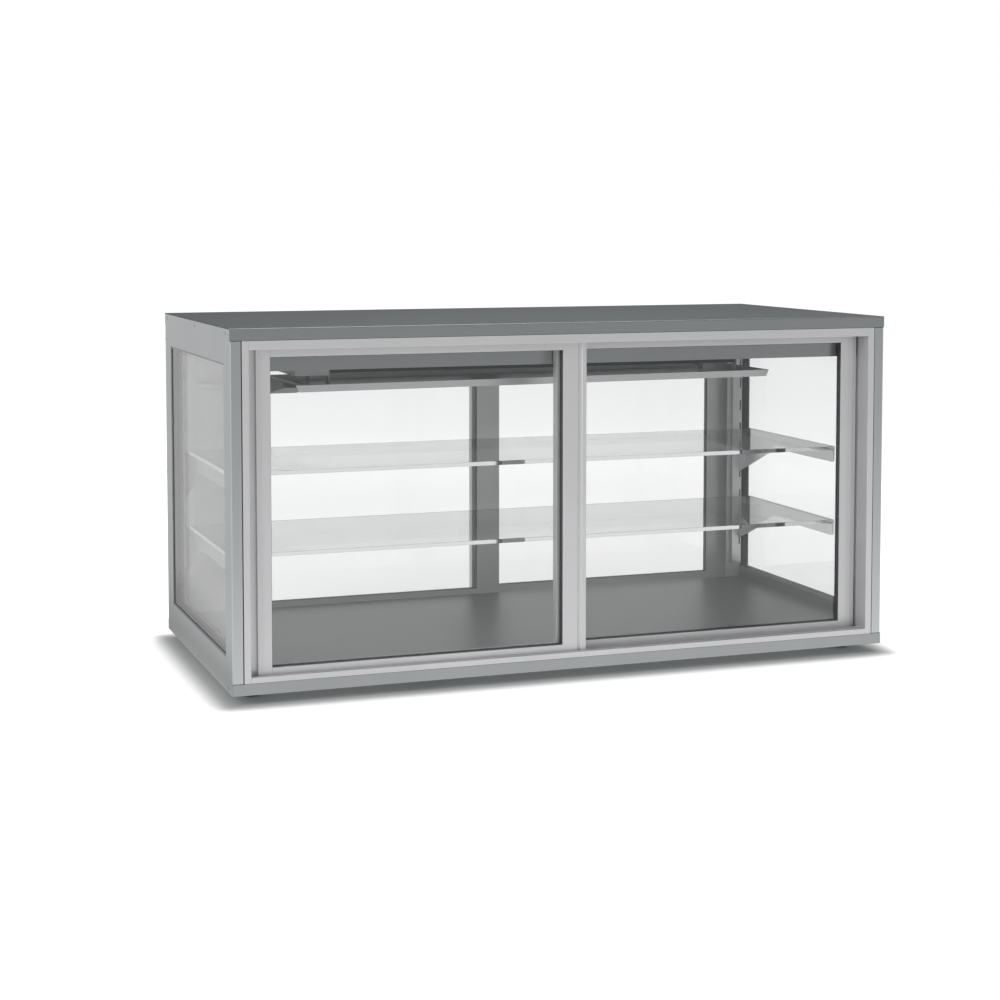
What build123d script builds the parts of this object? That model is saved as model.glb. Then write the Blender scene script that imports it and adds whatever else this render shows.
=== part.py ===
from build123d import *
from dataclasses import dataclass
from math import atan2, cos, radians, sin, tan
import os

# Refrigerated countertop display case, closed by two sliding glass doors at the front
# and two at the rear, with glazed side walls, two glass shelves on hooked brackets and
# a finned cooling coil with a drip tray under the ceiling.
#
# Distances below are measured on the casing: x from its left side, y from its front and
# z from its underside. The origin is on the worktop under the middle of the casing.

# Casing
case_width = 1300.0
case_depth = 620.0
case_height = 648.0
sheet = 1.5
fold_radius = 3.5
base_lip = 20.5
top_lip = 21.5
lip_corner = 3.0
top_fold = 2.0
seam = 1.0
seat = 0.3

# Feet
foot_height = 18.0
foot_radius = 14.0
foot_inset_x = 50.0
foot_inset_y = 72.0
foot_chamfer = 1.5

# Side walls and their insulating glass
wall = 27.0
post_width = 20.0
window_inset = 3.0
window_low = 59.5
window_top_margin = 64.5
window_edge_radius = 1.0
pane = 4.0
pane_gap = 12.0
pane_recess = 3.0
pane_cover = 4.0
gasket_lip = 3.0
gasket_back = 2.0
post_end_gap = 2.0
spacer_width = 7.0
liner = 1.5

# Door frames at the front and rear
frame_back = 4.0
frame_gap = 1.5
frame_rebate = 11.0
jamb_face = 12.5
jamb_wall = 1.5
rear_jamb_face = 22.5
jamb_lip = 15.0
jamb_lip_thickness = 2.5
sill_clearance = 0.5
sill_height = 10.3
head_face = 16.1
head_clearance = 0.7
web = 2.5
head_web = 3.0
rib = 1.5
rear_rib = 3.25
lip_hollow_wall = 1.5
profile_radius = 0.8

# Doors
door_thickness = 18.0
outer_track = 14.0
track_play = 3.0
running_gap = 0.75
door_gap = 3.0
lift_room = 6.8
front_overlap = 52.0
rear_overlap = 55.0
front_outer_stile = 38.0
front_meeting_stile = 47.0
rear_stile = 50.0
front_bottom_rail = 18.0
front_top_rail = 20.2
rear_bottom_rail = 24.9
rear_top_rail = 24.0
finger_groove_width = 12.0
finger_groove_depth = 8.0
bead_gap = 0.1
fine_line_places = (16.2, 20.8)
fine_line_width = 0.9
fine_line_depth = 0.5
cove_from_edge = 12.5
cove_width = 10.0
cove_depth = 3.0
slot_start = 8.5
slot_width = 8.0
slot_depth = 9.0
door_pane = 4.0
door_pane_play = 2.0
reveal_lining = 0.5
reveal_start = 1.5
glide_height = 2.0
glide_length = 30.0
glide_width = 12.0
glide_inset = 42.0
stem_radius = 3.0
stem_height = 7.0
stem_clearance = 0.05

# Floor, ceiling and their insulation
floor_level = 40.0
ceiling_drop = 80.5
ceiling_strip = 29.5
foam_step = 1.0

# Slotted uprights
upright_inset = 1.0
upright_width = 22.0
upright_depth = 8.0
upright_low = 71.5
slot_pitch = 50.0
slot_first = 114.0
slot_height = 22.0
upright_slot = 3.6
slot_from_wall = 4.5

# Shelves and their brackets
shelf_thickness = 8.0
shelf_front = 135.0
shelf_rear_margin = 115.0
shelf_side_gap = 3.0
shelf_chamfer = 0.6
shelf_headroom = 100.0
bracket_thickness = 3.0
bracket_front_setback = 2.0
bracket_nose = 25.0
bracket_slope_run = 168.0
bracket_heel = 94.0
bracket_above_slot = 7.0
bracket_flange_width = 9.0
bracket_flange_thickness = 2.0
nose_radius = 5.0
hook_height = 6.5
hook_drop = 5.0
hook_thickness = 3.0
hook_clearance = 0.3

# Cooling coil
coil_left = 236.0
coil_right_margin = 215.0
coil_front = 216.0
coil_depth = 176.0
coil_height = 18.0
coil_below_ceiling = 1.5
fin_pitch = 5.0
fin_thickness = 0.5
tube_radius = 4.8
tube_rows = 6
row_pitch = 28.0
tube_seat = 0.05
bend_start = 2.0
end_plate = 1.5
end_flange = 15.0
leg_width = 20.0
cover_left = 169.0
cover_height = 23.0
cover_overhang = 2.0
cover_sheet = 1.2

# Drip tray, with the chute that empties it
tray_left = 161.0
tray_right_margin = 160.3
tray_front = 176.0
tray_depth = 268.0
tray_below_ceiling = 37.2
tray_fall = 4.7
tray_height = 13.0
tray_sheet = 1.2
tray_end_slope = 50.0
tray_corner_inset = 6.0
chute_front = 283.0
chute_rear = 430.0
chute_left = 165.0
chute_width = 60.0
chute_slope = 9.0
chute_cheek = 32.0
chute_slot_width = 10.0
chute_slot_margin = 20.0

# Pipes, which leave downward through the wide jamb at the left rear
drain_radius = 7.0
drain_bore = 5.8
drain_above_floor = 2.0
drain_run_back = 89.0
drain_fall = 2.0
pipe_drop_back = 28.0
pipe_from_upright = 6.0
pipe_spacing = 14.0
pipe_from_jamb_edge = 9.0
drain_bend = 18.0
suction_run_back = 80.0
suction_cover_x = 203.0
liquid_radius = 3.0
liquid_run_back = 96.0
liquid_cover_x = 184.0
pipe_bend = 12.0
line_bend = 11.0
pipe_stub_below = 15.0
pipe_hole_clearance = 0.6
pipe_pocket_margin = 3.0

# Screws in the side sheets
screw_radius = 3.4
screw_recess = 0.5
screw_shank_radius = 1.6
screw_length = 9.0
screw_hole_clearance = 0.2
screw_front = 34.5
screw_rear_margin = 28.0
screw_low = 8.0
screw_top_margin = 9.5
screw_edge_margin = 7.0
screw_edge_end = 51.5

# Levels and places that follow from the sizes above
track_pitch = door_thickness + track_play
frame_depth = outer_track + track_pitch + door_thickness + frame_back
window_front = frame_depth - window_inset
sill_low = base_lip + sill_clearance
sill_top = sill_low + sill_height
track_floor = sill_low + web
head_top = case_height - top_lip - head_clearance
head_low = head_top - head_face
head_ceiling = head_top - head_web
door_bottom = track_floor + glide_height
door_top = head_ceiling - lift_room
track_lip = outer_track - running_gap
rib_start = outer_track + (door_thickness + track_pitch - rib) / 2
rib_end = rib_start + rib
frame_side = post_width + frame_gap
front_open_left = frame_side + jamb_face
front_open_right = case_width - front_open_left
liquid_x = wall + upright_inset + upright_width + pipe_from_upright
drain_x = liquid_x + pipe_spacing
suction_x = drain_x + pipe_spacing
rear_open_left = suction_x + pipe_from_jamb_edge
rear_open_right = case_width - frame_side - rear_jamb_face
window_rear = case_depth - window_front
window_top = case_height - window_top_margin
inner_front = frame_depth
inner_rear = case_depth - frame_depth
post_low = base_lip + seam
post_high = case_height - top_lip - seam
glass_edge = window_front - pane_cover
gasket_edge = glass_edge - gasket_back
clear_edge = window_front + gasket_lip
inner_pane = pane_recess + pane + pane_gap
ceiling_level = case_height - ceiling_drop
coil_high = ceiling_level - coil_below_ceiling
coil_low = coil_high - coil_height
coil_length = case_width - coil_left - coil_right_margin
tray_rim_left = ceiling_level - tray_below_ceiling
tray_length = case_width - tray_left - tray_right_margin
chute_floor_front = tray_rim_left - tray_height
chute_drop = (chute_rear - chute_front) * tan(radians(chute_slope))
chute_low = chute_floor_front - chute_drop
drain_level = chute_low + tray_sheet + drain_radius + drain_above_floor
highest_slot = chute_low - shelf_headroom - bracket_above_slot
shelf_step = (int((highest_slot - slot_first) // slot_pitch) + 1) // 2
tube_level = (coil_low + coil_high) / 2
pipe_drop_y = case_depth - pipe_drop_back
drain_run_y = case_depth - drain_run_back
suction_run_y = case_depth - suction_run_back
liquid_run_y = case_depth - liquid_run_back
tolerance = 0.01

# Screws as (y, z) places: three along the top, three along the bottom, three up the rear edge
screw_rear = case_depth - screw_rear_margin
screw_edge = case_depth - screw_edge_margin
screw_places = (
    (screw_front, case_height - screw_top_margin),
    (case_depth / 2, case_height - screw_top_margin),
    (screw_rear, case_height - screw_top_margin),
    (screw_front, screw_low),
    (case_depth / 2, screw_low),
    (screw_rear, screw_low),
    (screw_edge, case_height - screw_edge_end),
    (screw_edge, case_height / 2),
    (screw_edge, screw_edge_end),
)


def x_at(distance):
    """Distance from the casing's left side, as a coordinate."""
    return distance - case_width / 2


def y_at(distance):
    """Distance from the casing's front, as a coordinate."""
    return distance - case_depth / 2


def z_at(distance):
    """Distance above the casing's underside, as a coordinate."""
    return distance + foot_height


def plan_plane(z):
    """Level plane, seen from above."""
    return Plane.XY.offset(z_at(z))


def side_plane(x):
    """Plane across the casing's width, with +y to the right of the sketch."""
    return Plane.YZ.offset(x_at(x))


def front_plane(y):
    """Plane seen from the front. A negative extrusion goes towards the rear."""
    return Plane.XZ.offset(-y_at(y))


def rectangle(u0, u1, v0, v1, mode=Mode.ADD):
    """Rectangle in the current sketch, between two limits each way."""
    with Locations(((u0 + u1) / 2, (v0 + v1) / 2)):
        Rectangle(abs(u1 - u0), abs(v1 - v0), mode=mode)


def plan_rectangle(x0, x1, y0, y1, mode=Mode.ADD):
    """Rectangle in a sketch on a level plane."""
    rectangle(x_at(x0), x_at(x1), y_at(y0), y_at(y1), mode)


def side_rectangle(y0, y1, z0, z1, mode=Mode.ADD):
    """Rectangle in a sketch on a plane across the width."""
    rectangle(y_at(y0), y_at(y1), z_at(z0), z_at(z1), mode)


def front_rectangle(x0, x1, z0, z1, mode=Mode.ADD):
    """Rectangle in a sketch on a plane seen from the front."""
    rectangle(x_at(x0), x_at(x1), z_at(z0), z_at(z1), mode)


def block(x0, x1, y0, y1, z0, z1, mode=Mode.ADD):
    """Box in the current part, between two limits each way."""
    with BuildSketch(plan_plane(z0)) as base:
        plan_rectangle(x0, x1, y0, y1)
    extrude(base.sketch, amount=z1 - z0, mode=mode)


def round_corner(u, v, radius):
    """Round the corner of the current sketch that lies nearest to a point of it."""
    fillet(vertices().sort_by_distance((u, v))[0], radius)


def finish(builder, node):
    """Label a finished piece and write its file."""
    builder.part.label = node
    export_step(builder.part, f"parts/{node}.step")


def mirrored(builder, node):
    """Write the same piece again for the casing's other side."""
    with BuildPart() as other_side:
        mirror(builder.part, about=Plane.YZ)
    finish(other_side, node)


def depth_from(y, at_rear):
    """Distance from the front of a place given from the front or from the rear face."""
    return case_depth - y if at_rear else y


def screw_circles(radius):
    """Circles at the screw places, in a sketch across the width."""
    for screw_y, screw_z in screw_places:
        with Locations((y_at(screw_y), z_at(screw_z))):
            Circle(radius)


# Each file is written into this folder
os.makedirs("parts", exist_ok=True)

# Base

with BuildPart() as base_pan:
    block(sheet + seat, case_width - sheet - seat, 0, case_depth, 0, sheet)
    for at_rear in (False, True):
        outer = depth_from(0, at_rear)
        inner = depth_from(sheet, at_rear)
        block(0, case_width, outer, inner, 0, base_lip)
    for pipe_x, radius in (
        (drain_x, drain_radius),
        (suction_x, tube_radius),
        (liquid_x, liquid_radius),
    ):
        with BuildSketch(plan_plane(0)):
            with Locations((x_at(pipe_x), y_at(pipe_drop_y))):
                Circle(radius + pipe_hole_clearance)
        extrude(amount=sheet, mode=Mode.SUBTRACT)
finish(base_pan, "base_pan")

with BuildPart() as base_insulation:
    slab_left = wall + seat
    slab_right = case_width - wall - seat
    slab_front = sheet + seat
    slab_top = sill_low - seat
    block(slab_left, slab_right, slab_front, case_depth - slab_front, sheet + seat, slab_top)
    block(
        slab_left,
        slab_right,
        inner_front + seat,
        inner_rear - seat,
        slab_top,
        floor_level - sheet,
    )
    pocket = tube_radius + pipe_pocket_margin
    block(
        liquid_x - pocket,
        suction_x + pocket,
        pipe_drop_y - drain_radius - pipe_pocket_margin,
        pipe_drop_y + drain_radius + pipe_pocket_margin,
        0,
        slab_top,
        mode=Mode.SUBTRACT,
    )
finish(base_insulation, "base_insulation")

with BuildPart() as floor_panel:
    floor_left = wall + seat
    floor_right = case_width - wall - seat
    floor_front = inner_front + seat
    floor_rear = inner_rear - seat
    block(floor_left, floor_right, floor_front, floor_rear, floor_level - sheet, floor_level)
finish(floor_panel, "floor_panel")

with BuildPart() as feet:
    with BuildSketch(Plane.XY):
        foot_span_x = case_width - 2 * foot_inset_x
        foot_span_y = case_depth - 2 * foot_inset_y
        with GridLocations(foot_span_x, foot_span_y, 2, 2):
            Circle(foot_radius)
    extrude(amount=foot_height)
    chamfer(faces().group_by(Axis.Z)[0].edges(), foot_chamfer)
finish(feet, "feet")

# Side walls: outer sheet with folded posts, foam, glazing and inner liner

with BuildPart() as side_frame_left:
    with BuildSketch(side_plane(0)):
        side_rectangle(sheet + seat, case_depth - sheet - seat, 0, post_low)
        side_rectangle(fold_radius, case_depth - fold_radius, 0, case_height - sheet - seat)
        side_rectangle(sheet + seat, case_depth - sheet - seat, post_high, case_height - sheet - seat)
        side_rectangle(window_front, window_rear, window_low, window_top, Mode.SUBTRACT)
    extrude(amount=sheet)
    window_edges = (
        edges(Select.ALL)
        .filter_by_position(Axis.X, x_at(0) - tolerance, x_at(0) + tolerance)
        .filter_by_position(Axis.Y, y_at(window_front) - tolerance, y_at(window_rear) + tolerance)
        .filter_by_position(Axis.Z, z_at(window_low) - tolerance, z_at(window_top) + tolerance)
        .filter_by(GeomType.LINE)
    )
    fillet(window_edges, window_edge_radius)
    with BuildSketch(plan_plane(post_low)):
        for at_rear in (False, True):
            face = depth_from(0, at_rear)
            face_back = depth_from(sheet, at_rear)
            post_end = depth_from(gasket_edge - post_end_gap, at_rear)
            plan_rectangle(0, post_width, face, post_end)
            plan_rectangle(sheet, post_width - sheet, face_back, post_end, Mode.SUBTRACT)
            round_corner(x_at(0), y_at(face), fold_radius)
            round_corner(x_at(post_width), y_at(face), sheet)
            round_corner(x_at(sheet), y_at(face_back), fold_radius - sheet)
    extrude(amount=post_high - post_low)
    with BuildSketch(side_plane(0)):
        screw_circles(screw_radius + screw_hole_clearance)
    extrude(amount=sheet, mode=Mode.SUBTRACT)
finish(side_frame_left, "side_frame_left")
mirrored(side_frame_left, "side_frame_right")

with BuildPart() as side_liner_left:
    with BuildSketch(side_plane(wall - liner)):
        side_rectangle(gasket_edge, case_depth - gasket_edge, sill_low, post_high)
        side_rectangle(window_front, window_rear, window_low, window_top, Mode.SUBTRACT)
    extrude(amount=liner)
finish(side_liner_left, "side_liner_left")
mirrored(side_liner_left, "side_liner_right")

with BuildPart() as side_cores:
    core_front = gasket_edge
    core_rear = case_depth - gasket_edge
    core_bottom_top = window_low - pane_cover - gasket_back - seat
    core_top_bottom = window_top + pane_cover + gasket_back + seat
    core_start = screw_length + sheet + seat
    core_end = wall - liner - seat
    block(core_start, core_end, core_front, core_rear, sheet + seat, core_bottom_top)
    block(core_start, core_end, core_front, core_rear, core_top_bottom, case_height - sheet - 2 * seat)
    mirror(side_cores.part, about=Plane.YZ)
finish(side_cores, "side_cores")

with BuildPart() as side_panes_left:
    for pane_x in (pane_recess, inner_pane):
        block(
            pane_x,
            pane_x + pane,
            glass_edge,
            case_depth - glass_edge,
            window_low - pane_cover,
            window_top + pane_cover,
        )
finish(side_panes_left, "side_panes_left")
mirrored(side_panes_left, "side_panes_right")

with BuildPart() as side_spacers:
    with BuildSketch(side_plane(pane_recess + pane)):
        low = window_low - pane_cover
        high = window_top + pane_cover
        side_rectangle(glass_edge, case_depth - glass_edge, low, high)
        side_rectangle(
            glass_edge + spacer_width,
            case_depth - glass_edge - spacer_width,
            low + spacer_width,
            high - spacer_width,
            Mode.SUBTRACT,
        )
    extrude(amount=pane_gap)
    mirror(side_spacers.part, about=Plane.YZ)
finish(side_spacers, "side_spacers")

with BuildPart() as side_gasket_left:
    edge_low = window_low - pane_cover
    edge_high = window_top + pane_cover
    with BuildSketch(side_plane(sheet)):
        side_rectangle(
            gasket_edge,
            case_depth - gasket_edge,
            edge_low - gasket_back,
            edge_high + gasket_back,
        )
        side_rectangle(
            clear_edge,
            case_depth - clear_edge,
            window_low + gasket_lip,
            window_top - gasket_lip,
            Mode.SUBTRACT,
        )
    extrude(amount=wall - liner - sheet)
    with BuildSketch(side_plane(pane_recess)):
        side_rectangle(glass_edge, case_depth - glass_edge, edge_low, edge_high)
    extrude(amount=2 * pane + pane_gap, mode=Mode.SUBTRACT)
finish(side_gasket_left, "side_gasket_left")
mirrored(side_gasket_left, "side_gasket_right")

with BuildPart() as side_screws:
    with BuildSketch(side_plane(screw_recess)):
        screw_circles(screw_radius)
    extrude(amount=sheet - screw_recess)
    with BuildSketch(side_plane(sheet)):
        screw_circles(screw_shank_radius)
    extrude(amount=screw_length)
    mirror(side_screws.part, about=Plane.YZ)
finish(side_screws, "side_screws")

# Top and ceiling

with BuildPart() as top_panel:
    block(0, case_width, 0, case_depth, case_height - sheet, case_height)
    for at_rear in (False, True):
        lip_face = depth_from(0, at_rear)
        lip_back = depth_from(sheet, at_rear)
        with BuildSketch(front_plane(lip_face)):
            front_rectangle(0, case_width, case_height - top_lip, case_height)
            round_corner(x_at(0), z_at(case_height - top_lip), lip_corner)
            round_corner(x_at(case_width), z_at(case_height - top_lip), lip_corner)
        extrude(amount=lip_face - lip_back)
    outline = edges().group_by(Axis.Z)[-1]
    fillet(outline.filter_by(Axis.X), top_fold)
finish(top_panel, "top_panel")

with BuildPart() as top_insulation:
    foam_left = wall + sheet + 2 * seat
    foam_right = case_width - foam_left
    foam_front = inner_front + sheet + 2 * seat
    foam_low = ceiling_level + sheet + seat
    foam_middle = head_top + foam_step
    block(foam_left, foam_right, foam_front, case_depth - foam_front, foam_low, foam_middle)
    block(
        foam_left,
        foam_right,
        sheet + seat,
        case_depth - sheet - seat,
        foam_middle,
        case_height - sheet - seat,
    )
finish(top_insulation, "top_insulation")

with BuildPart() as ceiling_panel:
    pan_top = ceiling_level + ceiling_strip
    block(floor_left, floor_right, floor_front, floor_rear, ceiling_level, pan_top)
    block(
        floor_left + sheet,
        floor_right - sheet,
        floor_front + sheet,
        floor_rear - sheet,
        ceiling_level + sheet,
        pan_top,
        mode=Mode.SUBTRACT,
    )
finish(ceiling_panel, "ceiling_panel")

# Door frames: a head and a sill with two tracks each, between two jambs


def frame_strip(at_rear, y0, y1, z0, z1, mode=Mode.ADD):
    """Rectangle of a track profile's section, with depths from its own outer face."""
    side_rectangle(depth_from(y0, at_rear), depth_from(y1, at_rear), z0, z1, mode)


def frame_sill(name, at_rear, left, right):
    """Lower track profile, with a hollow outer lip, a middle rib and a seal rib."""
    hollow = lip_hollow_wall
    with BuildPart() as sill:
        with BuildSketch(side_plane(left)):
            frame_strip(at_rear, 0, frame_depth, sill_low, track_floor)
            frame_strip(at_rear, 0, track_lip, sill_low, sill_top)
            frame_strip(at_rear, rib_start, rib_end, track_floor, sill_top - rib)
            frame_strip(at_rear, frame_depth - rear_rib, frame_depth, track_floor, floor_level)
            round_corner(y_at(depth_from(0, at_rear)), z_at(sill_top), profile_radius)
            round_corner(y_at(depth_from(track_lip, at_rear)), z_at(sill_top), profile_radius)
            frame_strip(
                at_rear,
                hollow,
                track_lip - hollow,
                sill_low + hollow,
                sill_top - hollow,
                Mode.SUBTRACT,
            )
        extrude(amount=right - left)
    finish(sill, name)


def frame_head(name, at_rear, left, right):
    """Upper track profile, deep enough for the doors to be lifted out."""
    hollow = lip_hollow_wall
    pan_top = ceiling_level + ceiling_strip
    with BuildPart() as head:
        with BuildSketch(side_plane(left)):
            frame_strip(at_rear, 0, frame_depth, head_ceiling, head_top)
            frame_strip(at_rear, 0, track_lip, head_low, head_top)
            frame_strip(at_rear, rib_start, rib_end, head_low + rib, head_ceiling)
            frame_strip(at_rear, frame_depth - rear_rib, frame_depth, pan_top, head_ceiling)
            round_corner(y_at(depth_from(0, at_rear)), z_at(head_low), profile_radius)
            round_corner(y_at(depth_from(track_lip, at_rear)), z_at(head_low), profile_radius)
            frame_strip(
                at_rear,
                hollow,
                track_lip - hollow,
                head_low + hollow,
                head_ceiling - hollow,
                Mode.SUBTRACT,
            )
        extrude(amount=right - left)
    finish(head, name)


def jamb_profile(at_rear, face):
    """Hollow jamb beside the left wall, cut back behind the wall's inner corner."""
    outer = depth_from(0, at_rear)
    rebate = depth_from(frame_depth - frame_rebate, at_rear)
    back = depth_from(frame_depth, at_rear)
    right = frame_side + face
    plan_rectangle(frame_side, right, outer, rebate)
    plan_rectangle(wall + seat, right, rebate, back)
    round_corner(x_at(right), y_at(outer), profile_radius)
    hollow_back = depth_from(frame_depth - frame_rebate - jamb_wall, at_rear)
    hollow_front = depth_from(jamb_wall, at_rear)
    plan_rectangle(frame_side + jamb_wall, right - jamb_wall, hollow_front, hollow_back, Mode.SUBTRACT)


with BuildPart() as front_jambs:
    with BuildSketch(plan_plane(sill_low)):
        jamb_profile(at_rear=False, face=jamb_face)
    extrude(amount=head_top - sill_low)
    mirror(front_jambs.part, about=Plane.YZ)
finish(front_jambs, "front_jambs")

frame_sill("front_sill", False, front_open_left, front_open_right)
frame_head("front_head", False, front_open_left, front_open_right)
frame_sill("rear_sill", True, rear_open_left, rear_open_right)
frame_head("rear_head", True, rear_open_left, rear_open_right)

# The wide jamb at the left rear is the pipe shaft; its lip covers the closed door's edge
with BuildPart() as rear_jamb_left:
    with BuildSketch(plan_plane(sill_low)):
        jamb_profile(at_rear=True, face=rear_open_left - frame_side)
        plan_rectangle(
            wall + seat + jamb_wall,
            rear_open_left - jamb_wall,
            inner_rear + jamb_wall,
            inner_rear + frame_rebate + 2 * jamb_wall,
            Mode.SUBTRACT,
        )
    extrude(amount=head_top - sill_low)
    block(
        rear_open_left,
        rear_open_left + jamb_lip,
        inner_rear,
        inner_rear + jamb_lip_thickness,
        floor_level,
        ceiling_level,
    )
    for pipe_x, pipe_z, radius in (
        (drain_x, drain_level - drain_fall, drain_radius),
        (suction_x, tube_level, tube_radius),
        (liquid_x, tube_level, liquid_radius),
    ):
        with BuildSketch(front_plane(inner_rear)):
            with Locations((x_at(pipe_x), z_at(pipe_z))):
                Circle(radius + pipe_hole_clearance)
        extrude(amount=-2 * jamb_wall, mode=Mode.SUBTRACT)
finish(rear_jamb_left, "rear_jamb_left")

with BuildPart() as narrow_jamb:
    jamb_edge = frame_side + rear_jamb_face
    with BuildSketch(plan_plane(sill_low)):
        jamb_profile(at_rear=True, face=rear_jamb_face)
    extrude(amount=head_top - sill_low)
    block(
        jamb_edge,
        jamb_edge + jamb_lip,
        inner_rear,
        inner_rear + jamb_lip_thickness,
        floor_level,
        ceiling_level,
    )
mirrored(narrow_jamb, "rear_jamb_right")

# Sliding doors


@dataclass(frozen=True)
class Door:
    """One sliding door, described from its outer edge and its outer face."""

    name: str
    edge: float
    toward: int
    width: float
    at_rear: bool
    track: int
    outer_stile: float
    meeting_stile: float
    rail_low: float
    rail_high: float

    def x(self, along):
        """Distance from the casing's left side of a place along the door."""
        return self.edge + self.toward * along

    def y(self, deep):
        """Distance from the casing's front of a place in the door's thickness."""
        return depth_from(outer_track + self.track * track_pitch + deep, self.at_rear)

    def plan(self, a0, a1, d0, d1, mode=Mode.ADD):
        """Rectangle of the door's plan."""
        plan_rectangle(self.x(a0), self.x(a1), self.y(d0), self.y(d1), mode)

    def corner(self, along, deep, radius):
        """Round a corner of the door's plan."""
        round_corner(x_at(self.x(along)), y_at(self.y(deep)), radius)

    def box(self, a0, a1, d0, d1, z0, z1, mode=Mode.ADD):
        """Box within the door."""
        block(self.x(a0), self.x(a1), self.y(d0), self.y(d1), z0, z1, mode)


def outer_stile(door):
    """Stile at the jamb: a carrier, and a bead that holds the glass and forms the grip."""
    edge = door.outer_stile
    grip = finger_groove_width
    with BuildPart() as stile:
        with BuildSketch(plan_plane(door_bottom)):
            door.plan(0, edge, finger_groove_depth, door_thickness)
            door.plan(grip - bead_gap, edge, finger_groove_depth, slot_start, Mode.SUBTRACT)
            door.plan(edge - slot_depth, edge, slot_start, slot_start + slot_width, Mode.SUBTRACT)
        extrude(amount=door_top - door_bottom)
        with BuildSketch(plan_plane(door_bottom)):
            door.plan(grip, edge, 0, slot_start - bead_gap)
            door.corner(grip, 0, profile_radius)
            door.corner(edge, 0, profile_radius)
            for place in fine_line_places:
                half = fine_line_width / 2
                door.plan(place - half, place + half, 0, fine_line_depth, Mode.SUBTRACT)
        extrude(amount=door_top - door_bottom)
    finish(stile, f"{door.name}_outer_stile")


def meeting_stile(door):
    """Stile at the middle of the case, with a shallow cove along its face."""
    start = door.width - door.meeting_stile
    cove_radius = (cove_width ** 2 / 4 + cove_depth ** 2) / (2 * cove_depth)
    with BuildPart() as stile:
        with BuildSketch(plan_plane(door_bottom)):
            door.plan(start, door.width, 0, door_thickness)
            door.corner(start, 0, profile_radius)
            door.corner(door.width, 0, profile_radius)
            cove_along = door.x(door.width - cove_from_edge)
            cove_deep = door.y(cove_depth - cove_radius)
            with Locations((x_at(cove_along), y_at(cove_deep))):
                Circle(cove_radius, mode=Mode.SUBTRACT)
            door.plan(start, start + slot_depth, slot_start, slot_start + slot_width, Mode.SUBTRACT)
        extrude(amount=door_top - door_bottom)
    finish(stile, f"{door.name}_meeting_stile")


def glide_places(door):
    """Places along the door of its two glides."""
    return (
        door.outer_stile + glide_inset,
        door.width - door.meeting_stile - glide_inset,
    )


def rails(door):
    """Bottom and top rails between the stiles, grooved for the glass."""
    left = min(door.x(door.outer_stile), door.x(door.width - door.meeting_stile))
    length = door.width - door.outer_stile - door.meeting_stile
    with BuildPart() as rail_pair:
        with BuildSketch(side_plane(left)):
            face = door.y(0)
            back = door.y(door_thickness)
            groove_start = door.y(slot_start)
            groove_end = door.y(slot_start + slot_width)
            side_rectangle(face, back, door_bottom, door.rail_low)
            side_rectangle(face, back, door.rail_high, door_top)
            round_corner(y_at(face), z_at(door.rail_low), profile_radius)
            round_corner(y_at(face), z_at(door.rail_high), profile_radius)
            for low in (door.rail_low - slot_depth, door.rail_high):
                side_rectangle(groove_start, groove_end, low, low + slot_depth, Mode.SUBTRACT)
        extrude(amount=length)
        with BuildSketch(plan_plane(door_bottom)):
            for place in glide_places(door):
                with Locations((x_at(door.x(place)), y_at(door.y(door_thickness / 2)))):
                    Circle(stem_radius + stem_clearance)
        extrude(amount=stem_height + seat, mode=Mode.SUBTRACT)
    finish(rail_pair, f"{door.name}_rails")


def door_glass(door):
    """Pane, held all round in the gasket."""
    inset = slot_depth - door_pane_play
    middle = slot_start + slot_width / 2
    with BuildPart() as glass:
        door.box(
            door.outer_stile - inset,
            door.width - door.meeting_stile + inset,
            middle - door_pane / 2,
            middle + door_pane / 2,
            door.rail_low - inset,
            door.rail_high + inset,
        )
    finish(glass, f"{door.name}_glass")


def door_gasket(door):
    """Channel gasket around the pane, with a thin lining on the reveal before it."""
    near = door.outer_stile
    far = door.width - door.meeting_stile
    inset = slot_depth - door_pane_play
    middle = slot_start + slot_width / 2
    with BuildPart() as gasket:
        door.box(near, far, reveal_start, slot_start, door.rail_low, door.rail_high)
        door.box(
            near - slot_depth,
            far + slot_depth,
            slot_start,
            slot_start + slot_width,
            door.rail_low - slot_depth,
            door.rail_high + slot_depth,
        )
        door.box(
            near + reveal_lining,
            far - reveal_lining,
            0,
            door_thickness,
            door.rail_low + reveal_lining,
            door.rail_high - reveal_lining,
            Mode.SUBTRACT,
        )
        door.box(
            near - inset,
            far + inset,
            middle - door_pane / 2,
            middle + door_pane / 2,
            door.rail_low - inset,
            door.rail_high + inset,
            Mode.SUBTRACT,
        )
    finish(gasket, f"{door.name}_gasket")


def glides(door):
    """Two nylon pads that carry the door in its track, each on a stem in the rail."""
    with BuildPart() as pads:
        for place in glide_places(door):
            half = glide_length / 2
            margin = (door_thickness - glide_width) / 2
            door.box(
                place - half,
                place + half,
                margin,
                door_thickness - margin,
                track_floor,
                door_bottom,
            )
            with BuildSketch(plan_plane(door_bottom)):
                with Locations((x_at(door.x(place)), y_at(door.y(door_thickness / 2)))):
                    Circle(stem_radius)
            extrude(amount=stem_height)
    finish(pads, f"{door.name}_glides")


def door_width(opening, overlap):
    """Width of each of two doors that close an opening with a gap at each jamb."""
    return (opening - 2 * door_gap + overlap) / 2


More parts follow.
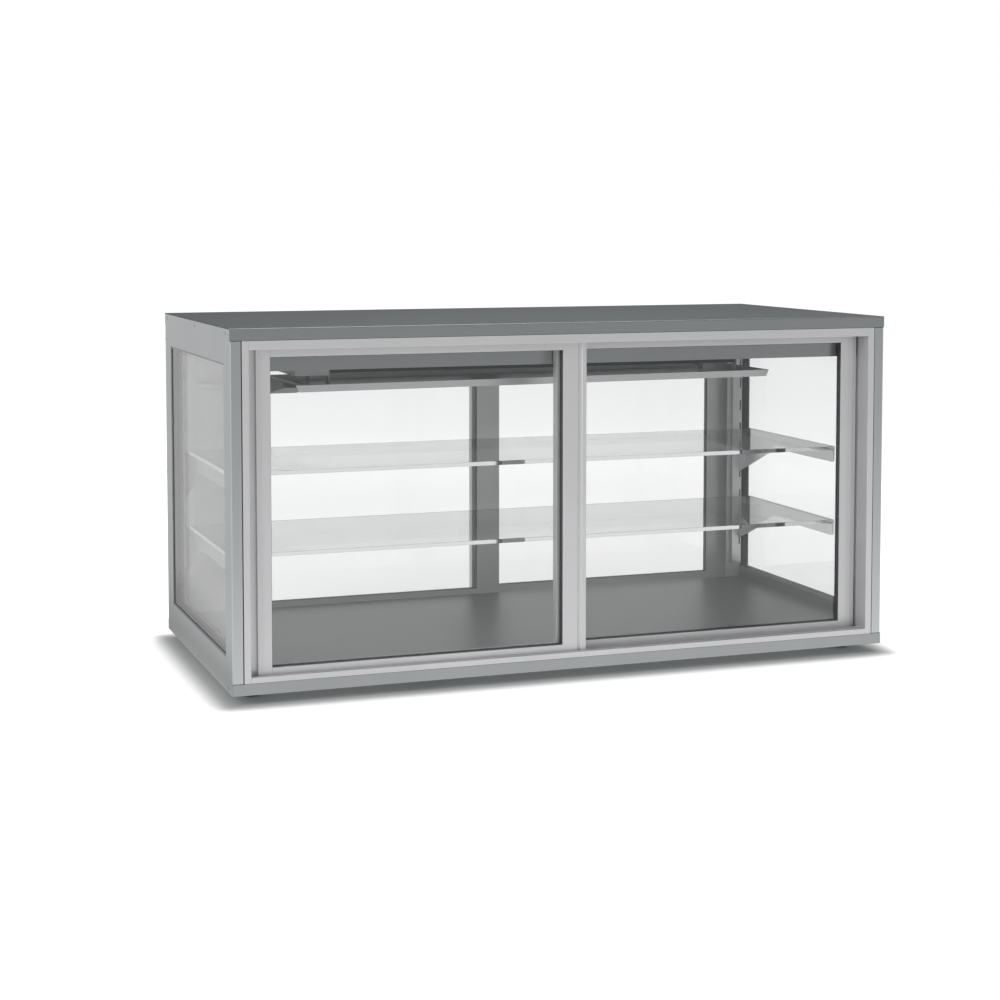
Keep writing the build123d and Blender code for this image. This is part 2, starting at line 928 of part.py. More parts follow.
front_width = door_width(front_open_right - front_open_left, front_overlap)
rear_width = door_width(rear_open_right - rear_open_left, rear_overlap)
front_sizes = (
    front_outer_stile,
    front_meeting_stile,
    door_bottom + front_bottom_rail,
    door_top - front_top_rail,
)
rear_sizes = (
    rear_stile,
    rear_stile,
    door_bottom + rear_bottom_rail,
    door_top - rear_top_rail,
)
doors = (
    Door("front_left", front_open_left + door_gap, 1, front_width, False, 0, *front_sizes),
    Door("front_right", front_open_right - door_gap, -1, front_width, False, 1, *front_sizes),
    Door("rear_left", rear_open_left + door_gap, 1, rear_width, True, 1, *rear_sizes),
    Door("rear_right", rear_open_right - door_gap, -1, rear_width, True, 0, *rear_sizes),
)
for door in doors:
    outer_stile(door)
    meeting_stile(door)
    rails(door)
    door_glass(door)
    door_gasket(door)
    glides(door)

# Slotted uprights on the rear jambs

upright_left = wall + upright_inset
upright_face = inner_rear - upright_depth
slot_x = wall + slot_from_wall
slot_count = int((ceiling_level - slot_height - slot_first) // slot_pitch) + 1
shelf_rear = case_depth - shelf_rear_margin

with BuildPart() as slotted_uprights:
    with BuildSketch(plan_plane(upright_low)):
        plan_rectangle(upright_left, upright_left + upright_width, upright_face, inner_rear)
        plan_rectangle(
            upright_left + sheet,
            upright_left + upright_width - sheet,
            upright_face + sheet,
            inner_rear,
            Mode.SUBTRACT,
        )
    extrude(amount=ceiling_level - upright_low)
    with BuildSketch(front_plane(upright_face)):
        for slot in range(slot_count):
            slot_low = slot_first + slot * slot_pitch
            front_rectangle(
                slot_x - upright_slot / 2,
                slot_x + upright_slot / 2,
                slot_low,
                slot_low + slot_height,
            )
    extrude(amount=-sheet, mode=Mode.SUBTRACT)
    mirror(slotted_uprights.part, about=Plane.YZ)
finish(slotted_uprights, "slotted_uprights")

# Shelves and brackets


def shelf_level(index):
    """Level of a shelf's underside: the lower shelf is 0, the upper is 1."""
    slot_number = (index + 1) * shelf_step - 1
    return slot_first + slot_number * slot_pitch + bracket_above_slot


with BuildPart() as shelf_brackets:
    plate_left = slot_x - bracket_thickness / 2
    bracket_front = shelf_front + bracket_front_setback
    heel = upright_face - hook_clearance
    for index in (0, 1):
        level = shelf_level(index)
        with BuildSketch(side_plane(plate_left)):
            with BuildLine():
                Polyline(
                    (y_at(bracket_front), z_at(level)),
                    (y_at(bracket_front), z_at(level - bracket_nose)),
                    (y_at(upright_face - bracket_slope_run), z_at(level - bracket_nose)),
                    (y_at(heel), z_at(level - bracket_heel)),
                    (y_at(heel), z_at(level)),
                    close=True,
                )
            make_face()
            round_corner(y_at(bracket_front), z_at(level - bracket_nose), nose_radius)
            for slot_low in (level - bracket_above_slot, level - bracket_above_slot - slot_pitch):
                tab_low = slot_low + hook_clearance
                hook_face = upright_face + sheet + hook_clearance
                side_rectangle(heel, hook_face + hook_thickness, tab_low, slot_low + hook_height)
                side_rectangle(hook_face, hook_face + hook_thickness, slot_low - hook_drop, tab_low)
        extrude(amount=bracket_thickness)
        block(
            plate_left,
            plate_left + bracket_flange_width,
            bracket_front,
            shelf_rear,
            level - bracket_flange_thickness,
            level,
        )
    mirror(shelf_brackets.part, about=Plane.YZ)
finish(shelf_brackets, "shelf_brackets")

for index, name in ((0, "shelf_lower"), (1, "shelf_upper")):
    level = shelf_level(index)
    with BuildPart() as shelf:
        block(
            wall + shelf_side_gap,
            case_width - wall - shelf_side_gap,
            shelf_front,
            shelf_rear,
            level,
            level + shelf_thickness,
        )
        chamfer(edges(), shelf_chamfer)
    finish(shelf, name)

# Cooling coil

coil_right = coil_left + coil_length
coil_rear = coil_front + coil_depth
row_places = [
    coil_front + coil_depth / 2 + (row - (tube_rows - 1) / 2) * row_pitch
    for row in range(tube_rows)
]


def tube_holes(clearance):
    """Circles at the tube rows, in a sketch across the width."""
    for row_y in row_places:
        with Locations((y_at(row_y), z_at(tube_level))):
            Circle(tube_radius + clearance, mode=Mode.SUBTRACT)


with BuildPart() as evaporator_fins:
    fin_count = int((coil_length - fin_thickness) // fin_pitch) + 1
    fin_planes = [side_plane(coil_left + fin * fin_pitch) for fin in range(fin_count)]
    with BuildSketch(*fin_planes):
        side_rectangle(coil_front, coil_rear, coil_low, coil_high)
        tube_holes(tube_seat)
    extrude(amount=fin_thickness)
finish(evaporator_fins, "evaporator_fins")

# Each tube end at the left leaves the header cover as a pipe
bend_radius = row_pitch / 2
left_bend_x = coil_left - end_plate - bend_start
right_bend_x = coil_right + end_plate + bend_start

with BuildPart() as evaporator_tubes:
    with BuildLine() as tube_line:
        for row, row_y in enumerate(row_places):
            start = liquid_cover_x + pipe_bend if row == 0 else left_bend_x
            start = suction_cover_x + pipe_bend if row == tube_rows - 1 else start
            Line(
                (x_at(start), y_at(row_y), z_at(tube_level)),
                (x_at(right_bend_x), y_at(row_y), z_at(tube_level)),
            )
            if row < tube_rows - 1:
                at_right = row % 2 == 0
                bend_x = right_bend_x if at_right else left_bend_x
                bulge = bend_radius if at_right else -bend_radius
                ThreePointArc(
                    (x_at(bend_x), y_at(row_y), z_at(tube_level)),
                    (x_at(bend_x + bulge), y_at(row_y + bend_radius), z_at(tube_level)),
                    (x_at(bend_x), y_at(row_y + row_pitch), z_at(tube_level)),
                )
    with BuildSketch(side_plane(liquid_cover_x + pipe_bend)):
        with Locations((y_at(row_places[0]), z_at(tube_level))):
            Circle(tube_radius)
    sweep(path=tube_line.wire())
finish(evaporator_tubes, "evaporator_tubes")


def tray_floor_level(x):
    """Level of the tray's upper floor surface, which falls towards the left."""
    slope = tray_fall / tray_length
    return tray_rim_left - tray_height + tray_sheet + (x - tray_left) * slope


with BuildPart() as evaporator_end_plates:
    plates = (
        (coil_left - end_plate - seat, -1),
        (coil_right + seat, 1),
    )
    for plate_x, outward in plates:
        with BuildSketch(side_plane(plate_x)):
            side_rectangle(coil_front, coil_rear, coil_low, ceiling_level)
            foot_level = tray_floor_level(plate_x + end_plate) + seat
            side_rectangle(coil_front, coil_front + leg_width, foot_level, coil_low)
            side_rectangle(coil_rear - leg_width, coil_rear, foot_level, coil_low)
            tube_holes(tube_seat)
        extrude(amount=end_plate)
        flange_start = plate_x if outward < 0 else plate_x + end_plate
        block(
            flange_start,
            flange_start + outward * end_flange,
            coil_front + 2 * cover_overhang,
            coil_rear - 2 * cover_overhang,
            ceiling_level - end_plate,
            ceiling_level,
        )
finish(evaporator_end_plates, "evaporator_end_plates")

with BuildPart() as header_cover:
    cover_right = coil_left - end_plate - 2 * seat
    cover_front = coil_front - cover_overhang
    cover_rear = coil_rear + cover_overhang
    cover_low = ceiling_level - cover_height
    block(cover_left, cover_right, cover_front, cover_rear, cover_low, ceiling_level)
    block(
        cover_left + cover_sheet,
        cover_right,
        cover_front + cover_sheet,
        cover_rear,
        cover_low + cover_sheet,
        ceiling_level,
        mode=Mode.SUBTRACT,
    )
finish(header_cover, "header_cover")

# Drip tray

tray_tilt = atan2(tray_fall, tray_length)
tray_frame = Plane(
    origin=(x_at(tray_left), y_at(tray_front), z_at(tray_rim_left - tray_height)),
    x_dir=(cos(tray_tilt), 0, sin(tray_tilt)),
    z_dir=(0, -1, 0),
)

# Chute below the tray's sloping end: a box with a falling floor, open above to the outlet slot
chute_outline = [
    (y_at(chute_front), z_at(chute_floor_front)),
    (y_at(chute_rear), z_at(chute_low)),
    (y_at(chute_rear), z_at(tray_rim_left)),
    (y_at(chute_front + chute_cheek), z_at(tray_rim_left)),
]
with BuildPart() as drain_chute:
    with BuildSketch(side_plane(chute_left)):
        with BuildLine():
            Polyline(*chute_outline, close=True)
        make_face()
    extrude(amount=chute_width)
    with BuildSketch(side_plane(chute_left + tray_sheet)):
        with BuildLine():
            Polyline(*chute_outline, close=True)
        make_face()
        offset(amount=-tray_sheet)
        side_rectangle(
            chute_front + chute_cheek + tray_sheet,
            chute_rear - tray_sheet,
            tray_rim_left - tray_height,
            tray_rim_left + tray_sheet,
        )
    extrude(amount=chute_width - 2 * tray_sheet, mode=Mode.SUBTRACT)
    # Everything above the middle of the tray's sheet is cut away
    with BuildSketch(tray_frame):
        with BuildLine():
            Polyline(
                (-tray_end_slope, 2 * tray_height + tray_sheet / 2),
                (tray_end_slope, tray_sheet / 2),
                (2 * tray_end_slope, tray_sheet / 2),
                (2 * tray_end_slope, 2 * tray_height + tray_sheet / 2),
                close=True,
            )
        make_face()
    extrude(amount=-tray_depth, mode=Mode.SUBTRACT)
    with BuildSketch(front_plane(chute_rear)):
        with Locations((x_at(chute_left + chute_width / 2), z_at(drain_level))):
            Circle(drain_radius)
    extrude(amount=2 * tray_sheet, mode=Mode.SUBTRACT)

with BuildPart() as drip_tray:
    end_angle = atan2(tray_height, tray_end_slope)
    rim_run = tray_sheet / sin(end_angle)
    knee = tray_end_slope + tray_sheet * tan(end_angle / 2)
    # Floor sheet with its ends bent up, drawn as seen from the front
    with BuildSketch(tray_frame):
        with BuildLine():
            Polyline(
                (0, tray_height),
                (tray_end_slope, 0),
                (tray_length - tray_end_slope, 0),
                (tray_length, tray_height),
                (tray_length - rim_run, tray_height),
                (tray_length - knee, tray_sheet),
                (knee, tray_sheet),
                (rim_run, tray_height),
                close=True,
            )
        make_face()
    extrude(amount=-tray_depth)
    # Long walls
    for wall_y in (0, tray_depth - tray_sheet):
        with BuildSketch(tray_frame.offset(-wall_y)):
            with BuildLine():
                Polyline(
                    (0, tray_height),
                    (tray_corner_inset, 0),
                    (tray_length - tray_corner_inset, 0),
                    (tray_length, tray_height),
                    close=True,
                )
            make_face()
        extrude(amount=-tray_sheet)
    add(drain_chute.part)
    # Outlet slot at the low end of the floor, over the chute
    outlet_left = tray_left + tray_end_slope
    block(
        outlet_left,
        outlet_left + chute_slot_width,
        chute_front + chute_cheek + chute_slot_margin,
        chute_rear - chute_slot_margin,
        chute_floor_front - tray_sheet,
        chute_floor_front + 2 * tray_sheet,
        mode=Mode.SUBTRACT,
    )
finish(drip_tray, "drip_tray")

# Pipes


def pipe_route(points, radius):
    """Pipe centre line through casing places, with every bend of one radius."""
    corners = [(x_at(x), y_at(y), z_at(z)) for x, y, z in points]
    return FilletPolyline(*corners, radius=radius)


with BuildPart() as drain_pipe:
    drain_start_x = chute_left + chute_width / 2
    run_level = drain_level - drain_fall
    with BuildLine() as drain_line:
        pipe_route(
            (
                (drain_start_x, chute_rear - tray_sheet, drain_level),
                (drain_start_x, drain_run_y, drain_level),
                (drain_x, drain_run_y, run_level),
                (drain_x, pipe_drop_y, run_level),
                (drain_x, pipe_drop_y, -pipe_stub_below),
            ),
            drain_bend,
        )
    with BuildSketch(front_plane(chute_rear - tray_sheet)):
        with Locations((x_at(drain_start_x), z_at(drain_level))):
            Circle(drain_radius)
            Circle(drain_bore, mode=Mode.SUBTRACT)
    sweep(path=drain_line.wire())
finish(drain_pipe, "drain_pipe")

with BuildPart() as refrigerant_lines:
    lines = (
        (row_places[-1], suction_cover_x, suction_run_y, suction_x, tube_radius),
        (row_places[0], liquid_cover_x, liquid_run_y, liquid_x, liquid_radius),
    )
    for row_y, turn_x, run_y, drop_x, radius in lines:
        start_x = turn_x + pipe_bend
        with BuildLine() as pipe_line:
            pipe_route(
                (
                    (start_x, row_y, tube_level),
                    (turn_x, row_y, tube_level),
                    (turn_x, run_y, tube_level),
                    (drop_x, run_y, tube_level),
                    (drop_x, pipe_drop_y, tube_level),
                    (drop_x, pipe_drop_y, -pipe_stub_below),
                ),
                line_bend,
            )
        with BuildSketch(side_plane(start_x)):
            with Locations((y_at(row_y), z_at(tube_level))):
                Circle(radius)
        sweep(path=pipe_line.wire())
finish(refrigerant_lines, "refrigerant_lines")
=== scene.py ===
"""Looks of a refrigerated countertop display case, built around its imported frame."""

import logging
import math
from dataclasses import dataclass
from enum import Enum
from typing import Any

import bmesh
import bpy
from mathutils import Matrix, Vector


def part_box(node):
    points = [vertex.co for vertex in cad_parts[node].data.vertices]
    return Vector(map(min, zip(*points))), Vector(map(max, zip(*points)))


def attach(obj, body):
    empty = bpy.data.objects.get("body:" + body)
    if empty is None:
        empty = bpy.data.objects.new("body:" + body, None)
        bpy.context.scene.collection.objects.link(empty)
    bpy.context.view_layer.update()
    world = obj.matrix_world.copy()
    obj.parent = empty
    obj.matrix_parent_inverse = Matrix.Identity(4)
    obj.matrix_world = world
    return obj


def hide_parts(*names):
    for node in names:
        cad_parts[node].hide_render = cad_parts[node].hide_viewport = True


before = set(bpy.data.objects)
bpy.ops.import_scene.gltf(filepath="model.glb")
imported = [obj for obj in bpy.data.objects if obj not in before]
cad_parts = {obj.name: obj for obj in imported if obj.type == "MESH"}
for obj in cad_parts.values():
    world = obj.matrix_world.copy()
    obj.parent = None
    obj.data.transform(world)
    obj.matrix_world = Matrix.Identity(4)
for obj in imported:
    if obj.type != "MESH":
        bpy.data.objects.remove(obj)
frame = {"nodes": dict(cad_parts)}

log = logging.getLogger("display_case")

LIGHT_BOUNCES = 24

Colour = tuple[float, float, float]
Place = tuple[float, float, float]
Point = tuple[float, float]
Span = tuple[float, float]


class Grain(Enum):
    """Direction in which a metal's brush marks or drawing lines run."""

    ACROSS_WIDTH = (1.0, 0.0, 0.0)
    FRONT_TO_REAR = (0.0, 1.0, 0.0)
    UPRIGHT = (0.0, 0.0, 1.0)


class Shading(Enum):
    """How a new piece's faces are shaded."""

    FLAT = "flat"
    SMOOTH = "smooth"


class NodeBuilder:
    """Adds and links the nodes of one tree."""

    def __init__(self, tree: bpy.types.NodeTree) -> None:
        """Empties the tree.

        Args:
            tree: The shader or geometry tree to fill.
        """
        self.tree = tree
        tree.nodes.clear()

    def add(
        self, kind: str, values: dict[str | int, Any] | None = None, **settings: Any
    ) -> bpy.types.Node:
        """Adds one node.

        Args:
            kind: The node's type name.
            values: Input values, or sockets to link from, by the input's name or number.
            **settings: Properties of the node itself.

        Returns:
            The new node.
        """
        node = self.tree.nodes.new(kind)
        for name, value in settings.items():
            setattr(node, name, value)
        for name, value in (values or {}).items():
            self.feed(node.inputs[name], value)
        return node

    def feed(self, socket: bpy.types.NodeSocket, value: Any) -> None:
        """Sets an input, or links it.

        Args:
            socket: The input to set.
            value: A plain value, or the output socket that feeds the input.
        """
        if isinstance(value, bpy.types.NodeSocket):
            self.tree.links.new(value, socket)
        else:
            socket.default_value = value

    def math(self, operation: str, first: Any, second: Any = 0.0) -> bpy.types.NodeSocket:
        """Adds a Math node.

        Args:
            operation: The node's operation.
            first: Its first operand, a number or a socket.
            second: Its second operand.

        Returns:
            The node's output.
        """
        node = self.add("ShaderNodeMath", {0: first, 1: second}, operation=operation)
        return node.outputs[0]

    def scaled(self, colour: Colour, factor: bpy.types.NodeSocket) -> bpy.types.NodeSocket:
        """Multiplies a colour by a factor.

        Args:
            colour: The fixed colour.
            factor: The socket that carries the factor.

        Returns:
            The product.
        """
        node = self.add("ShaderNodeVectorMath", {0: colour, "Scale": factor}, operation="SCALE")
        return node.outputs[0]

    def noise(
        self, place: bpy.types.NodeSocket, scale: float, detail: float = 2.0, roughness: float = 0.5
    ) -> bpy.types.NodeSocket:
        """Adds a noise pattern.

        Args:
            place: The coordinates that it reads.
            scale: Features per unit of length.
            detail: How many octaves it has.
            roughness: How strong the finer octaves are.

        Returns:
            The pattern, from 0 to 1.
        """
        values = {"Vector": place, "Scale": scale, "Detail": detail, "Roughness": roughness}
        return self.add("ShaderNodeTexNoise", values).outputs[0]

    def relief(
        self, pattern: bpy.types.NodeSocket, strength: float, depth: float
    ) -> bpy.types.NodeSocket:
        """Adds a bump.

        Args:
            pattern: The pattern that it follows.
            strength: How much of it shows.
            depth: The height of the pattern's 1, in metres.

        Returns:
            The bent normal.
        """
        values = {"Height": pattern, "Strength": strength, "Distance": depth}
        return self.add("ShaderNodeBump", values).outputs[0]

    def mixed(self, factor: Any, first: Any, second: Any) -> bpy.types.NodeSocket:
        """Mixes two shaders.

        Args:
            factor: 0 for the first alone, 1 for the second alone.
            first: The first shader's socket.
            second: The second shader's socket.

        Returns:
            The mixed shader.
        """
        return self.add("ShaderNodeMixShader", {0: factor, 1: first, 2: second}).outputs[0]

    def spread(self, socket: bpy.types.NodeSocket, low: Any, high: Any) -> bpy.types.NodeSocket:
        """Maps a pattern's 0 to 1 to a range.

        Args:
            socket: The pattern.
            low: The value at 0.
            high: The value at 1.

        Returns:
            The mapped value.
        """
        values = {"Value": socket, "To Min": low, "To Max": high}
        return self.add("ShaderNodeMapRange", values).outputs["Result"]

    def ramp(self, value: bpy.types.NodeSocket, span: Span, ends: Span) -> bpy.types.NodeSocket:
        """Maps a value smoothly from one end to the other.

        Args:
            value: The socket that is mapped.
            span: Where the change starts and ends.
            ends: The results before and after it.

        Returns:
            The mapped value.
        """
        values = {
            "Value": value,
            "From Min": span[0],
            "From Max": span[1],
            "To Min": ends[0],
            "To Max": ends[1],
        }
        node = self.add("ShaderNodeMapRange", values, interpolation_type="SMOOTHSTEP")
        return node.outputs["Result"]

    def mirrored_rays(self, rays: bpy.types.bpy_prop_collection) -> bpy.types.NodeSocket:
        """Tells rays that were mirrored last from those that went through glass.

        Args:
            rays: A Light Path node's outputs.

        Returns:
            1 for a glossy ray that is no transmission ray, and otherwise 0.
        """
        return self.math("SUBTRACT", rays["Is Glossy Ray"], rays["Is Transmission Ray"])


def new_material(name: str) -> tuple[bpy.types.Material, NodeBuilder]:
    """Makes an empty node material.

    Args:
        name: The material's name.

    Returns:
        The material and a builder for its tree.
    """
    material = bpy.data.materials.new(name)
    material.use_nodes = True
    return material, NodeBuilder(material.node_tree)


@dataclass(frozen=True)
class GrainedMetal:
    """Metal with fine parallel marks: brushed sheet or a drawn and anodised profile.

    The marks and broader bands along them change roughness and colour a little, a coarse
    cloud shades the colour over the length of a hand, and a shallow bump follows the marks.
    Faces above lid_level are darkened by a painted shade factor, which stands in for the darker
    reflection that a top face shows.
    """

    name: str
    colour: Colour
    roughness: float
    grain: Grain
    metallic: float = 1.0
    rim_tint: float = 1.0
    marks_per_metre: float = 1400.0
    stretch: float = 0.006
    band_scale: float = 0.06
    clouds_per_metre: float = 6.0
    mark_contrast: float = 0.06
    cloud_contrast: float = 0.05
    roughness_spread: float = 0.06
    bump: float = 0.04
    mark_depth: float = 0.0002
    lid_level: float = math.inf
    painted_lid_shade: float = 1.0

    def material(self) -> bpy.types.Material:
        """Builds the material.

        Returns:
            A node material that reads Object coordinates.
        """
        material, nodes = new_material(self.name)
        place = nodes.add("ShaderNodeTexCoord").outputs["Object"]
        across = self.marks_per_metre
        along = self.marks_per_metre * self.stretch
        scale = tuple(along if part else across for part in self.grain.value)
        stretched = nodes.add("ShaderNodeMapping", {"Vector": place, "Scale": scale})
        marks = nodes.noise(stretched.outputs[0], 1.0, detail=3.0, roughness=0.55)
        wide_scale = tuple(value * self.band_scale for value in scale)
        wide = nodes.add("ShaderNodeMapping", {"Vector": place, "Scale": wide_scale})
        bands = nodes.noise(wide.outputs[0], 1.0)
        cloud = nodes.noise(place, self.clouds_per_metre)
        streaks = nodes.math("MULTIPLY", nodes.math("ADD", marks, bands), 0.5)
        shade = nodes.math(
            "MULTIPLY",
            nodes.spread(streaks, 1.0 - self.mark_contrast, 1.0 + self.mark_contrast),
            nodes.spread(cloud, 1.0 - self.cloud_contrast, 1.0 + self.cloud_contrast),
        )
        # Painted shade: the colour of faces above lid_level is darkened.
        if math.isfinite(self.lid_level):
            height = nodes.add("ShaderNodeSeparateXYZ", {"Vector": place}).outputs["Z"]
            on_lid = nodes.math("GREATER_THAN", height, self.lid_level)
            shade = nodes.math("MULTIPLY", shade, nodes.spread(on_lid, 1.0, self.painted_lid_shade))
        low = self.roughness - self.roughness_spread
        high = self.roughness + self.roughness_spread
        shader = nodes.add(
            "ShaderNodeBsdfPrincipled",
            {
                "Base Color": nodes.scaled(self.colour, shade),
                "Metallic": self.metallic,
                "Roughness": nodes.spread(streaks, low, high),
                "Specular Tint": (self.rim_tint, self.rim_tint, self.rim_tint, 1.0),
                "Normal": nodes.relief(streaks, self.bump, self.mark_depth),
            },
        )
        nodes.add("ShaderNodeOutputMaterial", {"Surface": shader.outputs[0]})
        return material


@dataclass(frozen=True)
class ClearGlass:
    """Float glass: it bends and mirrors what is seen, and lets lamp light straight through.

    Where ground_beyond is set, faces farther from the middle plane than that are ground white.
    """

    name: str
    tint: Colour
    lamp_tint: Colour
    ior: float = 1.5
    unevenness: float = 0.012
    patches_per_metre: float = 9.0
    ground_beyond: float = math.inf
    ground_colour: Colour = (0.95, 0.96, 0.955)
    ground_roughness: float = 0.4

    def material(self) -> bpy.types.Material:
        """Builds the material.

        Returns:
            Refracting glass mixed with a clear shader for light on its way to a surface, and
            with a white ground finish on its ends, where it has one.
        """
        material, nodes = new_material(self.name)
        place = nodes.add("ShaderNodeTexCoord").outputs["Object"]
        haze = nodes.noise(place, self.patches_per_metre, detail=3.0, roughness=0.6)
        tone = nodes.scaled(self.tint, nodes.spread(haze, 1.0 - self.unevenness, 1.0))
        glass = nodes.add(
            "ShaderNodeBsdfPrincipled",
            {"Base Color": tone, "Roughness": 0.0, "IOR": self.ior, "Transmission Weight": 1.0},
        )
        clear = nodes.add("ShaderNodeBsdfTransparent", {"Color": (*self.lamp_tint, 1.0)})
        rays = nodes.add("ShaderNodeLightPath").outputs
        lamp_side = nodes.math("MAXIMUM", rays["Is Shadow Ray"], rays["Is Diffuse Ray"])
        straight = nodes.math("MAXIMUM", lamp_side, nodes.mirrored_rays(rays))
        surface = nodes.mixed(straight, glass.outputs[0], clear.outputs[0])
        if math.isfinite(self.ground_beyond):
            sideways = nodes.add("ShaderNodeSeparateXYZ", {"Vector": place}).outputs["X"]
            aside = nodes.math("ABSOLUTE", sideways)
            ground = nodes.add(
                "ShaderNodeBsdfPrincipled",
                {"Base Color": (*self.ground_colour, 1.0), "Roughness": self.ground_roughness},
            )
            at_end = nodes.math("GREATER_THAN", aside, self.ground_beyond)
            surface = nodes.mixed(at_end, surface, ground.outputs[0])
        nodes.add("ShaderNodeOutputMaterial", {"Surface": surface})
        return material


@dataclass(frozen=True)
class Moulded:
    """Rubber, plastic or foam, with a fine grain from its mould."""

    name: str
    colour: Colour
    roughness: float
    grain_per_metre: float = 1800.0
    patches_per_metre: float = 25.0
    mottle: float = 0.12
    roughness_spread: float = 0.05
    bump: float = 0.15
    grain_depth: float = 0.0001
    specular: float = 0.4

    def material(self) -> bpy.types.Material:
        """Builds the material.

        Returns:
            A node material that reads Object coordinates.
        """
        material, nodes = new_material(self.name)
        place = nodes.add("ShaderNodeTexCoord").outputs["Object"]
        grain = nodes.noise(place, self.grain_per_metre)
        patches = nodes.noise(place, self.patches_per_metre)
        shade = nodes.spread(patches, 1.0 - self.mottle, 1.0 + self.mottle)
        low = self.roughness - self.roughness_spread
        high = self.roughness + self.roughness_spread
        shader = nodes.add(
            "ShaderNodeBsdfPrincipled",
            {
                "Base Color": nodes.scaled(self.colour, shade),
                "Roughness": nodes.spread(patches, low, high),
                "Specular IOR Level": self.specular,
                "Normal": nodes.relief(grain, self.bump, self.grain_depth),
            },
        )
        nodes.add("ShaderNodeOutputMaterial", {"Surface": shader.outputs[0]})
        return material


class Finish(Enum):
    """Every finish of the case."""

    # Top sheet: its upper face gets painted shade, darker than its front lip.
    TOP_SHEET = GrainedMetal(
        "top_sheet",
        (0.40, 0.42, 0.425),
        0.5,
        Grain.ACROSS_WIDTH,
        rim_tint=0.1,
        bump=0.02,
        lid_level=0.6655,
        painted_lid_shade=0.64,
    )
    BASE_SHEET = GrainedMetal("base_sheet", (0.36, 0.378, 0.382), 0.36, Grain.ACROSS_WIDTH)
    SIDE_SHEET = GrainedMetal("side_sheet", (0.54, 0.562, 0.565), 0.36, Grain.UPRIGHT)
    INNER_SHEET = GrainedMetal("inner_sheet", (0.35, 0.365, 0.37), 0.3, Grain.ACROSS_WIDTH)
    FLOOR_SHEET = GrainedMetal(
        "floor_sheet", (0.31, 0.317, 0.32), 0.4, Grain.ACROSS_WIDTH, rim_tint=0.8, bump=0.0
    )
    UPRIGHT_SHEET = GrainedMetal("upright_sheet", (0.6, 0.61, 0.615), 0.3, Grain.UPRIGHT)
    BRACKET_SHEET = GrainedMetal("bracket_sheet", (0.75, 0.76, 0.765), 0.22, Grain.FRONT_TO_REAR)
    TRAY_SHEET = GrainedMetal(
        "tray_sheet", (0.74, 0.75, 0.76), 0.3, Grain.ACROSS_WIDTH, rim_tint=0.25
    )
    LEVEL_PROFILE = GrainedMetal(
        "level_profile",
        (0.68, 0.68, 0.69),
        0.45,
        Grain.ACROSS_WIDTH,
        metallic=0.65,
        mark_contrast=0.03,
    )
    UPRIGHT_PROFILE = GrainedMetal(
        "upright_profile",
        (0.68, 0.68, 0.69),
        0.45,
        Grain.UPRIGHT,
        metallic=0.65,
        mark_contrast=0.03,
    )
    # Fins coloured near black: painted shade for the dark depths of the coil above the tray.
    SHADE_DARKENED_FIN_SHEET = GrainedMetal("fin_sheet_painted_dark", (0.07, 0.072, 0.075), 0.4, Grain.UPRIGHT)
    COPPER_TUBE = GrainedMetal("copper_tube", (0.72, 0.38, 0.24), 0.3, Grain.ACROSS_WIDTH)
    SCREW_STEEL = GrainedMetal("screw_steel", (0.50, 0.51, 0.52), 0.28, Grain.UPRIGHT, bump=0.02)
    SPACER_BAR = GrainedMetal("spacer_bar", (0.03, 0.03, 0.032), 0.45, Grain.UPRIGHT)
    DOOR_GLASS = ClearGlass("door_glass", (0.92, 0.923, 0.922), (0.94, 0.945, 0.943))
    SIDE_GLASS = ClearGlass("side_glass", (0.975, 0.979, 0.977), (0.9, 0.905, 0.902), ior=1.2)
    SHELF_GLASS = ClearGlass(
        "shelf_glass", (0.992, 0.995, 0.994), (0.86, 0.87, 0.865), ground_beyond=0.6198
    )
    SEAL_RUBBER = Moulded("seal_rubber", (0.075, 0.076, 0.078), 0.55)
    SIDE_SEAL = Moulded("side_seal", (0.22, 0.222, 0.224), 0.5)
    FOOT_RUBBER = Moulded("foot_rubber", (0.02, 0.02, 0.021), 0.6)
    GLIDE_NYLON = Moulded("glide_nylon", (0.75, 0.74, 0.70), 0.45, mottle=0.04)
    DRAIN_PIPE = Moulded("drain_plastic", (0.42, 0.43, 0.44), 0.4, mottle=0.05)
    FOAM = Moulded("foam", (0.72, 0.64, 0.42), 0.9, grain_per_metre=500.0, bump=0.5)


class Palette:
    """Makes each finish's material once."""

    def __init__(self) -> None:
        """Starts with no material made."""
        self.made: dict[Finish, bpy.types.Material] = {}

    def get(self, finish: Finish) -> bpy.types.Material:
        """Gives a finish's material.

        Args:
            finish: The finish that is asked for.

        Returns:
            Its material, made at the first request.
        """
        if finish not in self.made:
            self.made[finish] = finish.value.material()
        return self.made[finish]


@dataclass
class Workshop:
    """What every sub-assembly needs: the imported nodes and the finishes."""

    nodes: dict[str, bpy.types.Object]
    palette: Palette

    def dress(self, finish: Finish, *names: str) -> None:
        """Gives CAD nodes their finish.

        Args:
            finish: The finish.
            *names: The nodes' names.
        """
        material = self.palette.get(finish)
        for name in names:
            node = self.nodes[name]
            if not node.material_slots:
                node.data.materials.append(material)
            for slot in node.material_slots:
                slot.material = material
            log.info("%s wears %s", name, finish.value.name)

    def place(
        self, piece: bpy.types.Object, body: str, slot: str, replaced: str, shading: Shading
    ) -> None:
        """Puts a new piece in a node's stead.

        Args:
            piece: The finished piece.
            body: The body that it rides on.
            slot: The record's material slot; not used.
            replaced: The CAD node that it stands for.
            shading: How its faces are shaded.
        """
        smooth = shading is Shading.SMOOTH
        piece.data.polygons.foreach_set("use_smooth", [smooth] * len(piece.data.polygons))
        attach(piece, body)
        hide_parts(replaced)
        log.info("%s stands for %s, %d faces", piece.name, replaced, len(piece.data.polygons))


